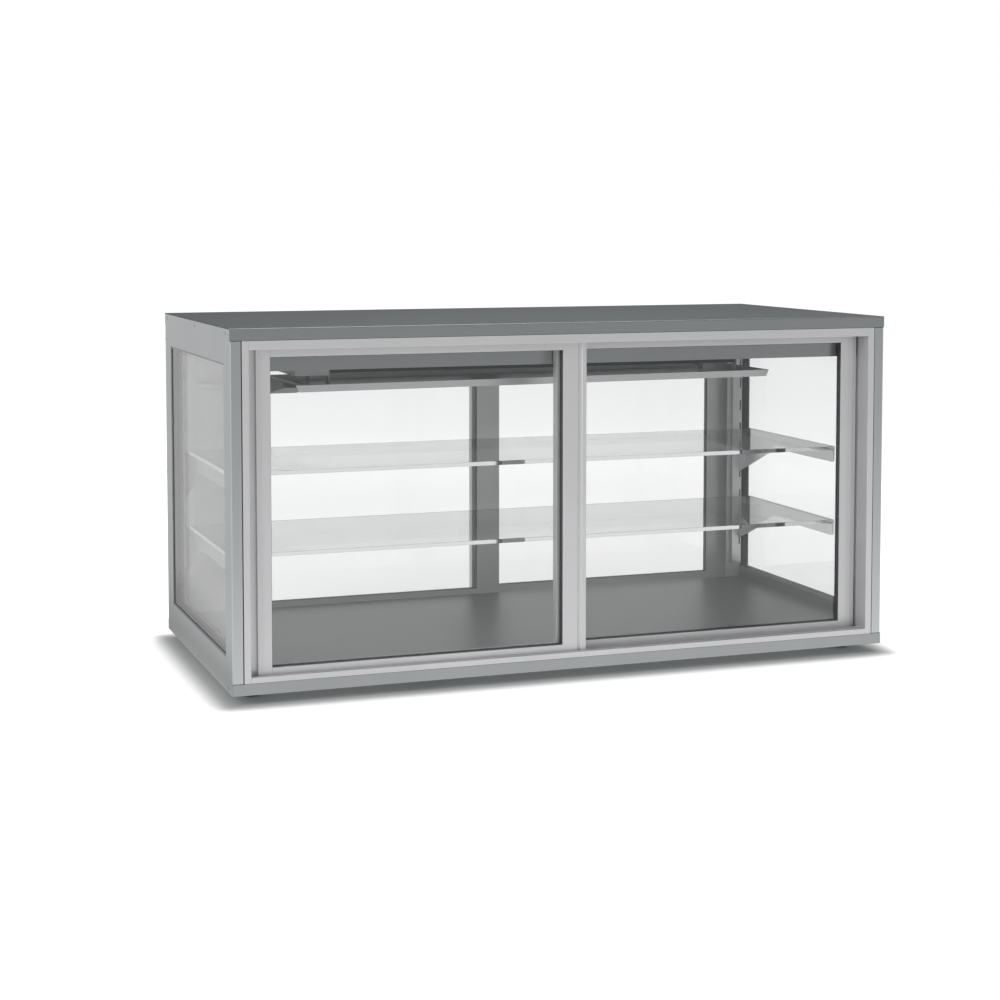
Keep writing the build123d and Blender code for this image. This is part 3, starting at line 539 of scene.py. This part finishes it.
def mesh_object(name: str, mesh: bpy.types.Mesh) -> bpy.types.Object:
    """Links a mesh into the scene as an object at the origin.

    Args:
        name: The object's name.
        mesh: Its mesh.

    Returns:
        The object.
    """
    piece = bpy.data.objects.new(name, mesh)
    bpy.context.scene.collection.objects.link(piece)
    return piece


def points_object(name: str, places: list[Place], turns: list[Place]) -> bpy.types.Object:
    """Makes loose points that carry a turn each.

    Args:
        name: The object's name.
        places: Where the points are.
        turns: The turn at each point, as Euler angles.

    Returns:
        An object whose points have the attribute turn.
    """
    mesh = bpy.data.meshes.new(name)
    mesh.from_pydata(places, [], [])
    turn = mesh.attributes.new("turn", "FLOAT_VECTOR", "POINT")
    turn.data.foreach_set("vector", [value for angles in turns for value in angles])
    return mesh_object(name, mesh)


def route_object(name: str, routes: list[list[Place]]) -> bpy.types.Object:
    """Makes straight runs between corner points, as curves.

    Args:
        name: The object's name.
        routes: The corner points of each run.

    Returns:
        The curve object.
    """
    curve = bpy.data.curves.new(name, "CURVE")
    curve.dimensions = "3D"
    for corners in routes:
        spline = curve.splines.new("POLY")
        spline.points.add(len(corners) - 1)
        for point, corner in zip(spline.points, corners):
            point.co = (*corner, 1.0)
    piece = bpy.data.objects.new(name, curve)
    bpy.context.scene.collection.objects.link(piece)
    return piece


class GeometryRecipe:
    """A Geometry Nodes tree with named inputs, which makes one plain mesh."""

    def __init__(self, name: str) -> None:
        """Starts a tree with a geometry input and output.

        Args:
            name: The tree's name.
        """
        tree = bpy.data.node_groups.new(name, "GeometryNodeTree")
        self.nodes = NodeBuilder(tree)
        tree.interface.new_socket("Geometry", in_out="INPUT", socket_type="NodeSocketGeometry")
        tree.interface.new_socket("Geometry", in_out="OUTPUT", socket_type="NodeSocketGeometry")
        self.tree = tree
        self.values: dict[str, Any] = {}
        self.entry = self.nodes.add("NodeGroupInput")

    def ask(self, name: str, kind: str, value: Any) -> bpy.types.NodeSocket:
        """Adds a named input.

        Args:
            name: The input's name.
            kind: The socket's kind, such as Float or Material.
            value: The value that this piece uses.

        Returns:
            The socket that carries the value inside the tree.
        """
        item = self.tree.interface.new_socket(name, in_out="INPUT", socket_type=f"NodeSocket{kind}")
        self.values[item.identifier] = value
        return self.entry.outputs[name]

    def close(self, geometry: bpy.types.NodeSocket, material: bpy.types.NodeSocket) -> None:
        """Ends the tree in Realize Instances and Set Material.

        Args:
            geometry: What the tree has made.
            material: The socket that carries the material.
        """
        real = self.nodes.add("GeometryNodeRealizeInstances", {"Geometry": geometry})
        dressed = self.nodes.add(
            "GeometryNodeSetMaterial", {"Geometry": real.outputs[0], "Material": material}
        )
        self.nodes.add("NodeGroupOutput", {"Geometry": dressed.outputs[0]})

    def make(self, name: str, start: bpy.types.Object) -> bpy.types.Object:
        """Runs the tree and keeps its result as a plain mesh.

        Args:
            name: The new piece's name.
            start: The object that the tree begins from, which is removed.

        Returns:
            The piece, with no modifier on it.
        """
        modifier = start.modifiers.new("recipe", "NODES")
        modifier.node_group = self.tree
        for identifier, value in self.values.items():
            modifier[identifier] = value
        bpy.context.view_layer.update()
        graph = bpy.context.evaluated_depsgraph_get()
        mesh = bpy.data.meshes.new_from_object(start.evaluated_get(graph))
        mesh.name = name
        start.modifiers.remove(modifier)
        bpy.data.objects.remove(start)
        return mesh_object(name, mesh)


def copies_recipe(model: bpy.types.Object, material: bpy.types.Material) -> GeometryRecipe:
    """Recipe that sets a model at every point, turned by the point's own turn.

    Args:
        model: The shape that is repeated.
        material: Its material.

    Returns:
        The recipe.
    """
    recipe = GeometryRecipe("copies_at_points")
    source = recipe.ask("Model", "Object", model)
    look = recipe.ask("Material", "Material", material)
    shape = recipe.nodes.add("GeometryNodeObjectInfo", {"Object": source})
    turn = recipe.nodes.add(
        "GeometryNodeInputNamedAttribute", {"Name": "turn"}, data_type="FLOAT_VECTOR"
    )
    placed = recipe.nodes.add(
        "GeometryNodeInstanceOnPoints",
        {
            "Points": recipe.entry.outputs["Geometry"],
            "Instance": shape.outputs["Geometry"],
            "Rotation": turn.outputs[0],
        },
    )
    recipe.close(placed.outputs[0], look)
    return recipe


def tube_recipe(
    radius: float, bend: float, material: bpy.types.Material, sides: int = 20, steps: int = 10
) -> GeometryRecipe:
    """Recipe that bends a tube along straight runs, with every corner rounded.

    Args:
        radius: The tube's outer radius.
        bend: The radius of each bend's centre line.
        material: The tube's material.
        sides: Faces round the tube.
        steps: Points in each bend.

    Returns:
        The recipe.
    """
    recipe = GeometryRecipe("bent_tube")
    tube_radius = recipe.ask("Tube radius", "Float", radius)
    bend_radius = recipe.ask("Bend radius", "Float", bend)
    side_count = recipe.ask("Sides", "Int", sides)
    step_count = recipe.ask("Bend steps", "Int", steps)
    look = recipe.ask("Material", "Material", material)
    rounded = recipe.nodes.add(
        "GeometryNodeFilletCurve",
        {"Curve": recipe.entry.outputs["Geometry"], "Radius": bend_radius, "Count": step_count},
        mode="POLY",
    )
    profile = recipe.nodes.add(
        "GeometryNodeCurvePrimitiveCircle", {"Resolution": side_count, "Radius": tube_radius}
    )
    swept = recipe.nodes.add(
        "GeometryNodeCurveToMesh",
        {"Curve": rounded.outputs[0], "Profile Curve": profile.outputs[0], "Fill Caps": True},
    )
    recipe.close(swept.outputs[0], look)
    return recipe


def resized(points: list[Point], factor: float) -> list[Point]:
    """Scales points about the origin.

    Args:
        points: The (x, y) points.
        factor: The scale.

    Returns:
        The scaled points.
    """
    return [(x * factor, y * factor) for x, y in points]


def closed_mesh(name: str, shape: bmesh.types.BMesh) -> bpy.types.Mesh:
    """Turns a closed body's faces outwards and keeps it as a mesh.

    Args:
        name: The mesh's name.
        shape: The body, which is freed.

    Returns:
        The mesh.
    """
    bmesh.ops.recalc_face_normals(shape, faces=shape.faces)
    mesh = bpy.data.meshes.new(name)
    shape.to_mesh(mesh)
    shape.free()
    return mesh


def lofted_mesh(name: str, rings: list[tuple[list[Point], float]]) -> bpy.types.Mesh:
    """Joins rings with equally many corners into a closed body.

    Args:
        name: The mesh's name.
        rings: Each ring's (x, y) corners and its height, from one end cap to the other.

    Returns:
        The mesh.
    """
    shape = bmesh.new()
    loops = [[shape.verts.new((x, y, height)) for x, y in corners] for corners, height in rings]
    shape.faces.new(loops[0])
    for first, second in zip(loops, loops[1:]):
        for step in range(len(first)):
            after = (step + 1) % len(first)
            shape.faces.new((first[step], first[after], second[after], second[step]))
    shape.faces.new(loops[-1])
    return closed_mesh(name, shape)


def turned_mesh(name: str, outline: list[Point], sides: int) -> bpy.types.Mesh:
    """Turns an outline about the upright axis into a closed body.

    Args:
        name: The mesh's name.
        outline: (radius, height) points from the lower axis point to the upper one.
        sides: Faces round the body.

    Returns:
        The mesh.
    """
    shape = bmesh.new()
    rings: list[list[bmesh.types.BMVert]] = []
    for radius, height in outline:
        if radius == 0.0:
            rings.append([shape.verts.new((0.0, 0.0, height))])
            continue
        angles = [2 * math.pi * step / sides for step in range(sides)]
        ring = [(radius * math.cos(angle), radius * math.sin(angle), height) for angle in angles]
        rings.append([shape.verts.new(corner) for corner in ring])
    for lower, upper in zip(rings, rings[1:]):
        for step in range(sides):
            after = (step + 1) % sides
            corners = [lower[step % len(lower)], lower[after % len(lower)]]
            corners += [upper[after % len(upper)], upper[step % len(upper)]]
            shape.faces.new(list(dict.fromkeys(corners)))
    return closed_mesh(name, shape)


@dataclass
class Casing:
    """Base, side walls, top and their glazing, with screws and feet."""

    shop: Workshop

    def build(self) -> None:
        """Dresses the casing's nodes and makes its small parts."""
        shop = self.shop
        shop.dress(Finish.TOP_SHEET, "top_panel")
        shop.dress(Finish.BASE_SHEET, "base_pan")
        shop.dress(Finish.SIDE_SHEET, "side_frame_left", "side_frame_right")
        shop.dress(Finish.INNER_SHEET, "side_liner_left", "side_liner_right", "ceiling_panel")
        shop.dress(Finish.FLOOR_SHEET, "floor_panel")
        shop.dress(Finish.SIDE_GLASS, "side_panes_left", "side_panes_right")
        shop.dress(Finish.SIDE_SEAL, "side_gasket_left", "side_gasket_right")
        shop.dress(Finish.SPACER_BAR, "side_spacers")
        shop.dress(Finish.FOAM, "side_cores", "base_insulation", "top_insulation")
        SideScrews(shop).build()
        Feet(shop).build()


@dataclass
class SideScrews:
    """Countersunk cross-recessed screws of the two side sheets."""

    shop: Workshop
    case_width: float = 1.300
    radius: float = 0.0034
    sink: float = 0.0005
    length: float = 0.009
    face_inset: float = 0.0004
    face_round: float = 0.0002
    head_height: float = 0.001
    shank_radius: float = 0.0016
    cross_reach: float = 0.0021
    cross_width: float = 0.0007
    cross_depth: float = 0.0009
    cross_taper: float = 0.6
    first_from_front: float = 0.0345
    last_from_rear: float = 0.028
    row_below_top: float = 0.0077
    row_above_base: float = 0.008
    column_from_rear: float = 0.007
    column_below_top: float = 0.0497
    column_above_base: float = 0.0515
    column_middle_lift: float = 0.0009

    def screw_mesh(self) -> bpy.types.Mesh:
        """Countersunk screw with a cross recess, its axis upright and its face at 0.

        Returns:
            The mesh: a cross-shaped pit, the face and rim round it, and a short shank.
        """
        reach, half = self.cross_reach, self.cross_width / 2
        cross = [
            (reach, -half), (reach, half), (half, half), (half, reach),
            (-half, reach), (-half, half), (-reach, half), (-reach, -half),
            (-half, -half), (-half, -reach), (half, -reach), (half, -half),
        ]
        ways = [math.atan2(y, x) for x, y in cross]
        circle = [(math.cos(way), math.sin(way)) for way in ways]
        face = resized(circle, self.radius - self.face_inset)
        rim = resized(circle, self.radius)
        shank = resized(circle, self.shank_radius)
        rings = [
            (resized(cross, self.cross_taper), -self.cross_depth),
            (cross, 0.0),
            (face, 0.0),
            (rim, -self.face_round),
            (rim, -self.head_height),
            (shank, -self.head_height),
            (shank, -self.length),
        ]
        return lofted_mesh("screw_model", rings)

    def screw_places(self) -> list[Point]:
        """Gives the (y, z) places of the screws in a side sheet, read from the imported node.

        Returns:
            One place for each screw.
        """
        low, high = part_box("side_frame_left")
        front, rear = low.y + self.first_from_front, high.y - self.last_from_rear
        upper, lower = high.z - self.row_below_top, low.z + self.row_above_base
        level = [(y, z) for z in (upper, lower) for y in (front, (low.y + high.y) / 2, rear)]
        edge = high.y - self.column_from_rear
        middle = (low.z + high.z) / 2 + self.column_middle_lift
        heights = (high.z - self.column_below_top, middle, low.z + self.column_above_base)
        return level + [(edge, z) for z in heights]

    def build(self) -> None:
        """Sets a screw in every screw hole of both sides."""
        model = mesh_object("screw_model", self.screw_mesh())
        face = self.case_width / 2 - self.sink
        places, turns = [], []
        for y, z in self.screw_places():
            for side in (-1, 1):
                places.append((side * face, y, z))
                turns.append((0.0, side * math.pi / 2, 0.0))
        recipe = copies_recipe(model, self.shop.palette.get(Finish.SCREW_STEEL))
        screws = recipe.make("side_screw_set", points_object("screw_points", places, turns))
        bpy.data.objects.remove(model)
        self.shop.place(screws, "case", "stainless", "side_screws", Shading.FLAT)


@dataclass
class Feet:
    """Ribbed rubber feet."""

    shop: Workshop
    radius: float = 0.014
    height: float = 0.018
    ribs: int = 36
    rib_depth: float = 0.0006
    sole_inset: float = 0.003
    edge_inset: float = 0.0012
    edge_height: float = 0.0006
    rib_start: float = 0.0022
    rib_end: float = 0.012
    neck_start: float = 0.0135
    neck_inset: float = 0.0014
    rim_tolerance: float = 0.0001

    def build(self) -> None:
        """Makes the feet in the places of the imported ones."""
        low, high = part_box("feet")
        radius, height = self.radius, self.height
        neck = radius - self.neck_inset
        outline = [
            (0.0, 0.0),
            (radius - self.sole_inset, 0.0),
            (radius - self.edge_inset, self.edge_height),
            (radius, self.rib_start),
            (radius, self.rib_end),
            (neck, self.neck_start),
            (neck, height),
            (0.0, height),
        ]
        model = mesh_object("foot_model", turned_mesh("foot_model", outline, 2 * self.ribs))
        groove = 1.0 - self.rib_depth / radius
        for vertex in model.data.vertices:
            ring = math.hypot(vertex.co.x, vertex.co.y)
            if ring > radius - self.rim_tolerance and vertex.index % 2:
                vertex.co.x *= groove
                vertex.co.y *= groove
        across = (low.x + radius, high.x - radius)
        along = (low.y + radius, high.y - radius)
        places = [(x, y, 0.0) for x in across for y in along]
        recipe = copies_recipe(model, self.shop.palette.get(Finish.FOOT_RUBBER))
        level = [(0.0, 0.0, 0.0)] * len(places)
        feet = recipe.make("foot_set", points_object("foot_points", places, level))
        bpy.data.objects.remove(model)
        self.shop.place(feet, "case", "foot_black", "feet", Shading.FLAT)


@dataclass
class DoorFrames:
    """Track profiles and jambs at the front and the rear."""

    shop: Workshop

    def build(self) -> None:
        """Dresses the frames."""
        self.shop.dress(Finish.LEVEL_PROFILE, "front_sill", "front_head", "rear_sill", "rear_head")
        self.shop.dress(Finish.UPRIGHT_PROFILE, "front_jambs", "rear_jamb_left", "rear_jamb_right")


@dataclass
class SlidingDoor:
    """One framed glass door."""

    shop: Workshop
    name: str

    def build(self) -> None:
        """Dresses the door's six parts."""
        name = self.name
        self.shop.dress(Finish.UPRIGHT_PROFILE, f"{name}_outer_stile", f"{name}_meeting_stile")
        self.shop.dress(Finish.LEVEL_PROFILE, f"{name}_rails")
        self.shop.dress(Finish.DOOR_GLASS, f"{name}_glass")
        self.shop.dress(Finish.SEAL_RUBBER, f"{name}_gasket")
        self.shop.dress(Finish.GLIDE_NYLON, f"{name}_glides")


@dataclass
class Shelving:
    """Slotted uprights, brackets and glass shelves."""

    shop: Workshop

    def build(self) -> None:
        """Dresses the shelving."""
        self.shop.dress(Finish.UPRIGHT_SHEET, "slotted_uprights")
        self.shop.dress(Finish.BRACKET_SHEET, "shelf_brackets")
        self.shop.dress(Finish.SHELF_GLASS, "shelf_lower", "shelf_upper")


@dataclass
class CoolingCoil:
    """Finned coil under the ceiling, with its tube, end plates and header cover."""

    shop: Workshop
    fin_count: int = 170
    fin_pitch: float = 0.005
    fin_thickness: float = 0.0005
    fin_points: int = 29
    ripple: float = 0.0007
    ripples: float = 14.0
    tube_radius: float = 0.0048
    row_pitch: float = 0.028
    row_count: int = 6
    plate_thickness: float = 0.002
    plate_gap: float = 0.0015
    outlet_inset: float = 0.019

    def build(self) -> None:
        """Makes the fins and tubes and dresses the plates."""
        self.shop.dress(Finish.INNER_SHEET, "evaporator_end_plates", "header_cover")
        self.build_fins()
        self.build_tube()
        self.shop.dress(Finish.COPPER_TUBE, "refrigerant_lines")

    def build_fins(self) -> None:
        """Stacks rippled fins along the coil with a Geometry Nodes tree."""
        low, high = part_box("evaporator_fins")
        size = high - low
        recipe = GeometryRecipe("fin_stack")
        count = recipe.ask("Fin count", "Int", self.fin_count)
        pitch = recipe.ask("Fin pitch", "Vector", (self.fin_pitch, 0.0, 0.0))
        first = (low.x + self.fin_thickness / 2, (low.y + high.y) / 2, (low.z + high.z) / 2)
        start = recipe.ask("First fin", "Vector", first)
        plate = recipe.ask("Fin size", "Vector", (self.fin_thickness, size.y, size.z))
        swing = recipe.ask("Ripple", "Float", self.ripple)
        waves = recipe.ask("Ripples per metre", "Float", self.ripples / size.y)
        # The fins' colour is darkened as painted shade.
        look = recipe.ask("Material", "Material", self.shop.palette.get(Finish.SHADE_DARKENED_FIN_SHEET))
        nodes = recipe.nodes
        cube = nodes.add(
            "GeometryNodeMeshCube",
            {"Size": plate, "Vertices X": 2, "Vertices Y": self.fin_points, "Vertices Z": 2},
        )
        position = nodes.add("GeometryNodeInputPosition")
        parts = nodes.add("ShaderNodeSeparateXYZ", {"Vector": position.outputs[0]})
        turns = nodes.math("MULTIPLY", waves, 2 * math.pi)
        phase = nodes.math("MULTIPLY", parts.outputs["Y"], turns)
        aside = nodes.math("MULTIPLY", nodes.math("SINE", phase), swing)
        offset = nodes.add("ShaderNodeCombineXYZ", {"X": aside})
        rippled = nodes.add(
            "GeometryNodeSetPosition",
            {"Geometry": cube.outputs["Mesh"], "Offset": offset.outputs[0]},
        )
        line = nodes.add(
            "GeometryNodeMeshLine",
            {"Count": count, "Start Location": start, "Offset": pitch},
            mode="OFFSET",
        )
        stack = nodes.add(
            "GeometryNodeInstanceOnPoints",
            {"Points": line.outputs[0], "Instance": rippled.outputs[0]},
        )
        recipe.close(stack.outputs[0], look)
        origin = (0.0, 0.0, 0.0)
        fins = recipe.make("fin_stack", points_object("fin_start", [origin], [origin]))
        self.shop.place(fins, "case", "fin_aluminium", "evaporator_fins", Shading.FLAT)

    def build_tube(self) -> None:
        """Bends one tube back and forth through the fins."""
        low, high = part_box("evaporator_tubes")
        fins_low, fins_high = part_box("evaporator_fins")
        level = (low.z + high.z) / 2
        middle = (fins_low.y + fins_high.y) / 2
        first = middle - (self.row_count - 1) / 2 * self.row_pitch
        right = high.x - self.tube_radius
        left = fins_low.x - self.plate_gap - self.plate_thickness - self.row_pitch / 2
        corners: list[Place] = [(low.x, first, level)]
        for row in range(self.row_count - 1):
            end = right if row % 2 == 0 else left
            corners.append((end, first + row * self.row_pitch, level))
            corners.append((end, first + (row + 1) * self.row_pitch, level))
        last = first + (self.row_count - 1) * self.row_pitch
        corners.append((low.x + self.outlet_inset, last, level))
        copper = self.shop.palette.get(Finish.COPPER_TUBE)
        recipe = tube_recipe(self.tube_radius, self.row_pitch / 2, copper)
        tube = recipe.make("coil_tube", route_object("coil_route", [corners]))
        self.shop.place(tube, "case", "copper", "evaporator_tubes", Shading.SMOOTH)


@dataclass
class Drainage:
    """Drip tray and the pipe that empties it."""

    shop: Workshop

    def build(self) -> None:
        """Dresses the tray and the pipe."""
        self.shop.dress(Finish.TRAY_SHEET, "drip_tray")
        self.shop.dress(Finish.DRAIN_PIPE, "drain_pipe")


@dataclass(frozen=True)
class SoftLamp:
    """Large square lamp that faces the case."""

    name: str
    place: Place
    side: float
    watts: float
    aim: Place = (0.0, 0.0, 0.3)

    def hang(self) -> None:
        """Adds the lamp to the scene."""
        light = bpy.data.lights.new(self.name, "AREA")
        light.shape = "SQUARE"
        light.size = self.side
        light.energy = self.watts
        lamp = bpy.data.objects.new(self.name, light)
        bpy.context.scene.collection.objects.link(lamp)
        lamp.location = self.place
        way = Vector(self.aim) - Vector(self.place)
        lamp.rotation_euler = way.to_track_quat("-Z", "Y").to_euler()


@dataclass
class Studio:
    """Pale floor, soft lamps, world and camera.

    Floor and world show the camera an even white, and show mirrored rays a dimmer room whose
    levels change between the spans given here. Spans on the floor are in metres, those of the
    world in the sine of the direction.
    """

    floor_size: float = 30.0
    floor_colour: float = 0.88
    floor_lift: float = 0.4
    near_lift: float = 0.04
    half_width: float = 0.65
    half_depth: float = 0.31
    shadow_reach: float = 0.055
    contact_shade: float = 0.5
    through_span: Span = (0.9, 3.6)
    mirrored_front: Span = (0.62, 1.1)
    mirrored_rear: float = 0.75
    # Mirrored floor level far from and next to the case's left side; the low end is a painted
    # shadow.
    mirrored_shadow_beside: Span = (0.82, 0.3)
    front_span: Span = (-3.0, -0.4)
    rear_span: Span = (0.0, 1.0)
    beside_span: Span = (-0.84, -0.70)
    beside_end: Span = (-0.70, -0.62)
    beside_front: Span = (-0.5, -0.2)
    ambient: float = 0.74
    background: float = 1.0
    rear_room: float = 1.0
    front_room: float = 0.42
    left_room: float = 0.6
    zenith_room: float = 0.3
    rearward_span: Span = (-0.5, 0.3)
    upward_span: Span = (0.12, 0.7)
    sideward_span: Span = (-0.36, -0.05)
    camera_place: Place = (-1.3661, -3.6697, 0.8545)
    camera_turn: float = -19.888
    camera_tilt: float = 3.791
    lens: float = 70.72
    sensor_width: float = 36.0
    shift: float = -0.15

    def build(self) -> None:
        """Makes the stage, the lights and the camera."""
        self.build_floor()
        self.build_world()
        SoftLamp("overhead", (0.4, 0.3, 3.4), side=2.2, watts=60.0).hang()
        SoftLamp("left_fill", (-3.6, -1.6, 2.0), side=2.0, watts=55.0).hang()
        self.build_camera()

    def build_floor(self) -> None:
        """Lays the floor, whose paint is darkened close round the case as a contact shadow.

        Farther off a glow lifts it into the background, for the camera and for what is seen
        through glass, and mirrored rays meet the dimmer room's levels, with a painted shadow left
        of the case.
        """
        half = self.floor_size / 2
        corners = [(-half, -half, 0), (half, -half, 0), (half, half, 0), (-half, half, 0)]
        mesh = bpy.data.meshes.new("floor")
        mesh.from_pydata(corners, [], [(0, 1, 2, 3)])
        floor = mesh_object("floor", mesh)
        material, nodes = new_material("studio_floor")
        place = nodes.add("ShaderNodeTexCoord").outputs["Object"]
        parts = nodes.add("ShaderNodeSeparateXYZ", {"Vector": place}).outputs
        along = parts["Y"]
        past_side = nodes.math("SUBTRACT", nodes.math("ABSOLUTE", parts["X"]), self.half_width)
        past_end = nodes.math("SUBTRACT", nodes.math("ABSOLUTE", along), self.half_depth)
        clear_of_case = nodes.add(
            "ShaderNodeCombineXYZ",
            {"X": nodes.math("MAXIMUM", past_side, 0.0), "Y": nodes.math("MAXIMUM", past_end, 0.0)},
        )
        reach = nodes.add("ShaderNodeVectorMath", {0: clear_of_case.outputs[0]}, operation="LENGTH")
        gap = reach.outputs["Value"]
        away = nodes.add("ShaderNodeVectorMath", {0: place}, operation="LENGTH").outputs["Value"]
        shadow_span = (0.0, self.shadow_reach)
        seen_lift = nodes.ramp(gap, shadow_span, (0.0, self.floor_lift))
        through_lift = nodes.ramp(away, self.through_span, (self.near_lift, self.floor_lift))
        contact = nodes.ramp(gap, shadow_span, (self.contact_shade, 1.0))
        front = nodes.ramp(along, self.front_span, self.mirrored_front)
        rear = nodes.ramp(along, self.rear_span, (1.0, self.mirrored_rear))
        # Mirrored rays see the floor dimmer just left of the case: a painted shadow of the case,
        # seen in its reflection on the side sheets.
        level = nodes.ramp(parts["X"], self.beside_span, self.mirrored_shadow_beside)
        left_of_case = nodes.ramp(parts["X"], self.beside_end, (1.0, 0.0))
        past_front = nodes.ramp(along, self.beside_front, (0.0, 1.0))
        beside = nodes.spread(nodes.math("MULTIPLY", left_of_case, past_front), 1.0, level)
        strength = nodes.math("MULTIPLY", nodes.math("MULTIPLY", front, rear), beside)
        rays = nodes.add("ShaderNodeLightPath").outputs
        seen = nodes.math("MULTIPLY", rays["Is Camera Ray"], seen_lift)
        through = nodes.math("MULTIPLY", rays["Is Transmission Ray"], through_lift)
        pale = nodes.scaled((self.floor_colour,) * 3, contact)
        paint = nodes.add("ShaderNodeBsdfDiffuse", {"Color": pale})
        glow = nodes.add("ShaderNodeEmission", {"Strength": nodes.math("ADD", seen, through)})
        lit = nodes.add("ShaderNodeAddShader", {0: paint.outputs[0], 1: glow.outputs[0]})
        mirrored = nodes.add("ShaderNodeEmission", {"Strength": strength})
        surface = nodes.mixed(nodes.mirrored_rays(rays), lit.outputs[0], mirrored.outputs[0])
        nodes.add("ShaderNodeOutputMaterial", {"Surface": surface})
        mesh.materials.append(material)

    def build_world(self) -> None:
        """Gives a white background, a dimmer room for mirrored rays and an even ambient light."""
        world = bpy.data.worlds.new("studio_world")
        bpy.context.scene.world = world
        world.use_nodes = True
        nodes = NodeBuilder(world.node_tree)
        way = nodes.add("ShaderNodeTexCoord").outputs["Generated"]
        parts = nodes.add("ShaderNodeSeparateXYZ", {"Vector": way}).outputs
        rearward = nodes.ramp(parts["Y"], self.rearward_span, (self.front_room, self.rear_room))
        upward = nodes.ramp(parts["Z"], self.upward_span, (1.0, self.zenith_room))
        sideward = nodes.ramp(parts["X"], self.sideward_span, (self.left_room, 1.0))
        room = nodes.math("MULTIPLY", nodes.math("MULTIPLY", rearward, upward), sideward)
        rays = nodes.add("ShaderNodeLightPath").outputs
        direct = nodes.math("MAXIMUM", rays["Is Camera Ray"], rays["Is Transmission Ray"])
        blend = "ShaderNodeMix"
        lit = {0: rays["Is Glossy Ray"], 2: self.ambient, 3: room}
        around = nodes.add(blend, lit, data_type="FLOAT").outputs[0]
        shown = {0: direct, 2: around, 3: self.background}
        strength = nodes.add(blend, shown, data_type="FLOAT").outputs[0]
        white = (1.0, 1.0, 1.0, 1.0)
        sky = nodes.add("ShaderNodeBackground", {"Color": white, "Strength": strength})
        nodes.add("ShaderNodeOutputWorld", {"Surface": sky.outputs[0]})

    def build_camera(self) -> None:
        """Sets the camera, which looks a few degrees down, and shifts its frame further down."""
        data = bpy.data.cameras.new("camera")
        data.lens = self.lens
        data.sensor_width = self.sensor_width
        data.shift_y = self.shift
        camera = bpy.data.objects.new("camera", data)
        bpy.context.scene.collection.objects.link(camera)
        camera.location = self.camera_place
        upward = math.radians(90.0 - self.camera_tilt)
        camera.rotation_euler = (upward, 0.0, math.radians(self.camera_turn))
        bpy.context.scene.camera = camera


def main() -> None:
    """Builds the case's looks and the studio."""
    logging.basicConfig(level=logging.INFO, format="%(name)s: %(message)s")
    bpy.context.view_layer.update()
    scene = bpy.context.scene
    scene.view_settings.view_transform = "Standard"
    scene.cycles.max_bounces = LIGHT_BOUNCES
    scene.cycles.transmission_bounces = LIGHT_BOUNCES
    scene.cycles.transparent_max_bounces = LIGHT_BOUNCES
    shop = Workshop(frame["nodes"], Palette())
    Casing(shop).build()
    DoorFrames(shop).build()
    for name in ("front_left", "front_right", "rear_left", "rear_right"):
        SlidingDoor(shop, name).build()
    Shelving(shop).build()
    CoolingCoil(shop).build()
    Drainage(shop).build()
    Studio().build()


if __name__ == "__main__":
    main()
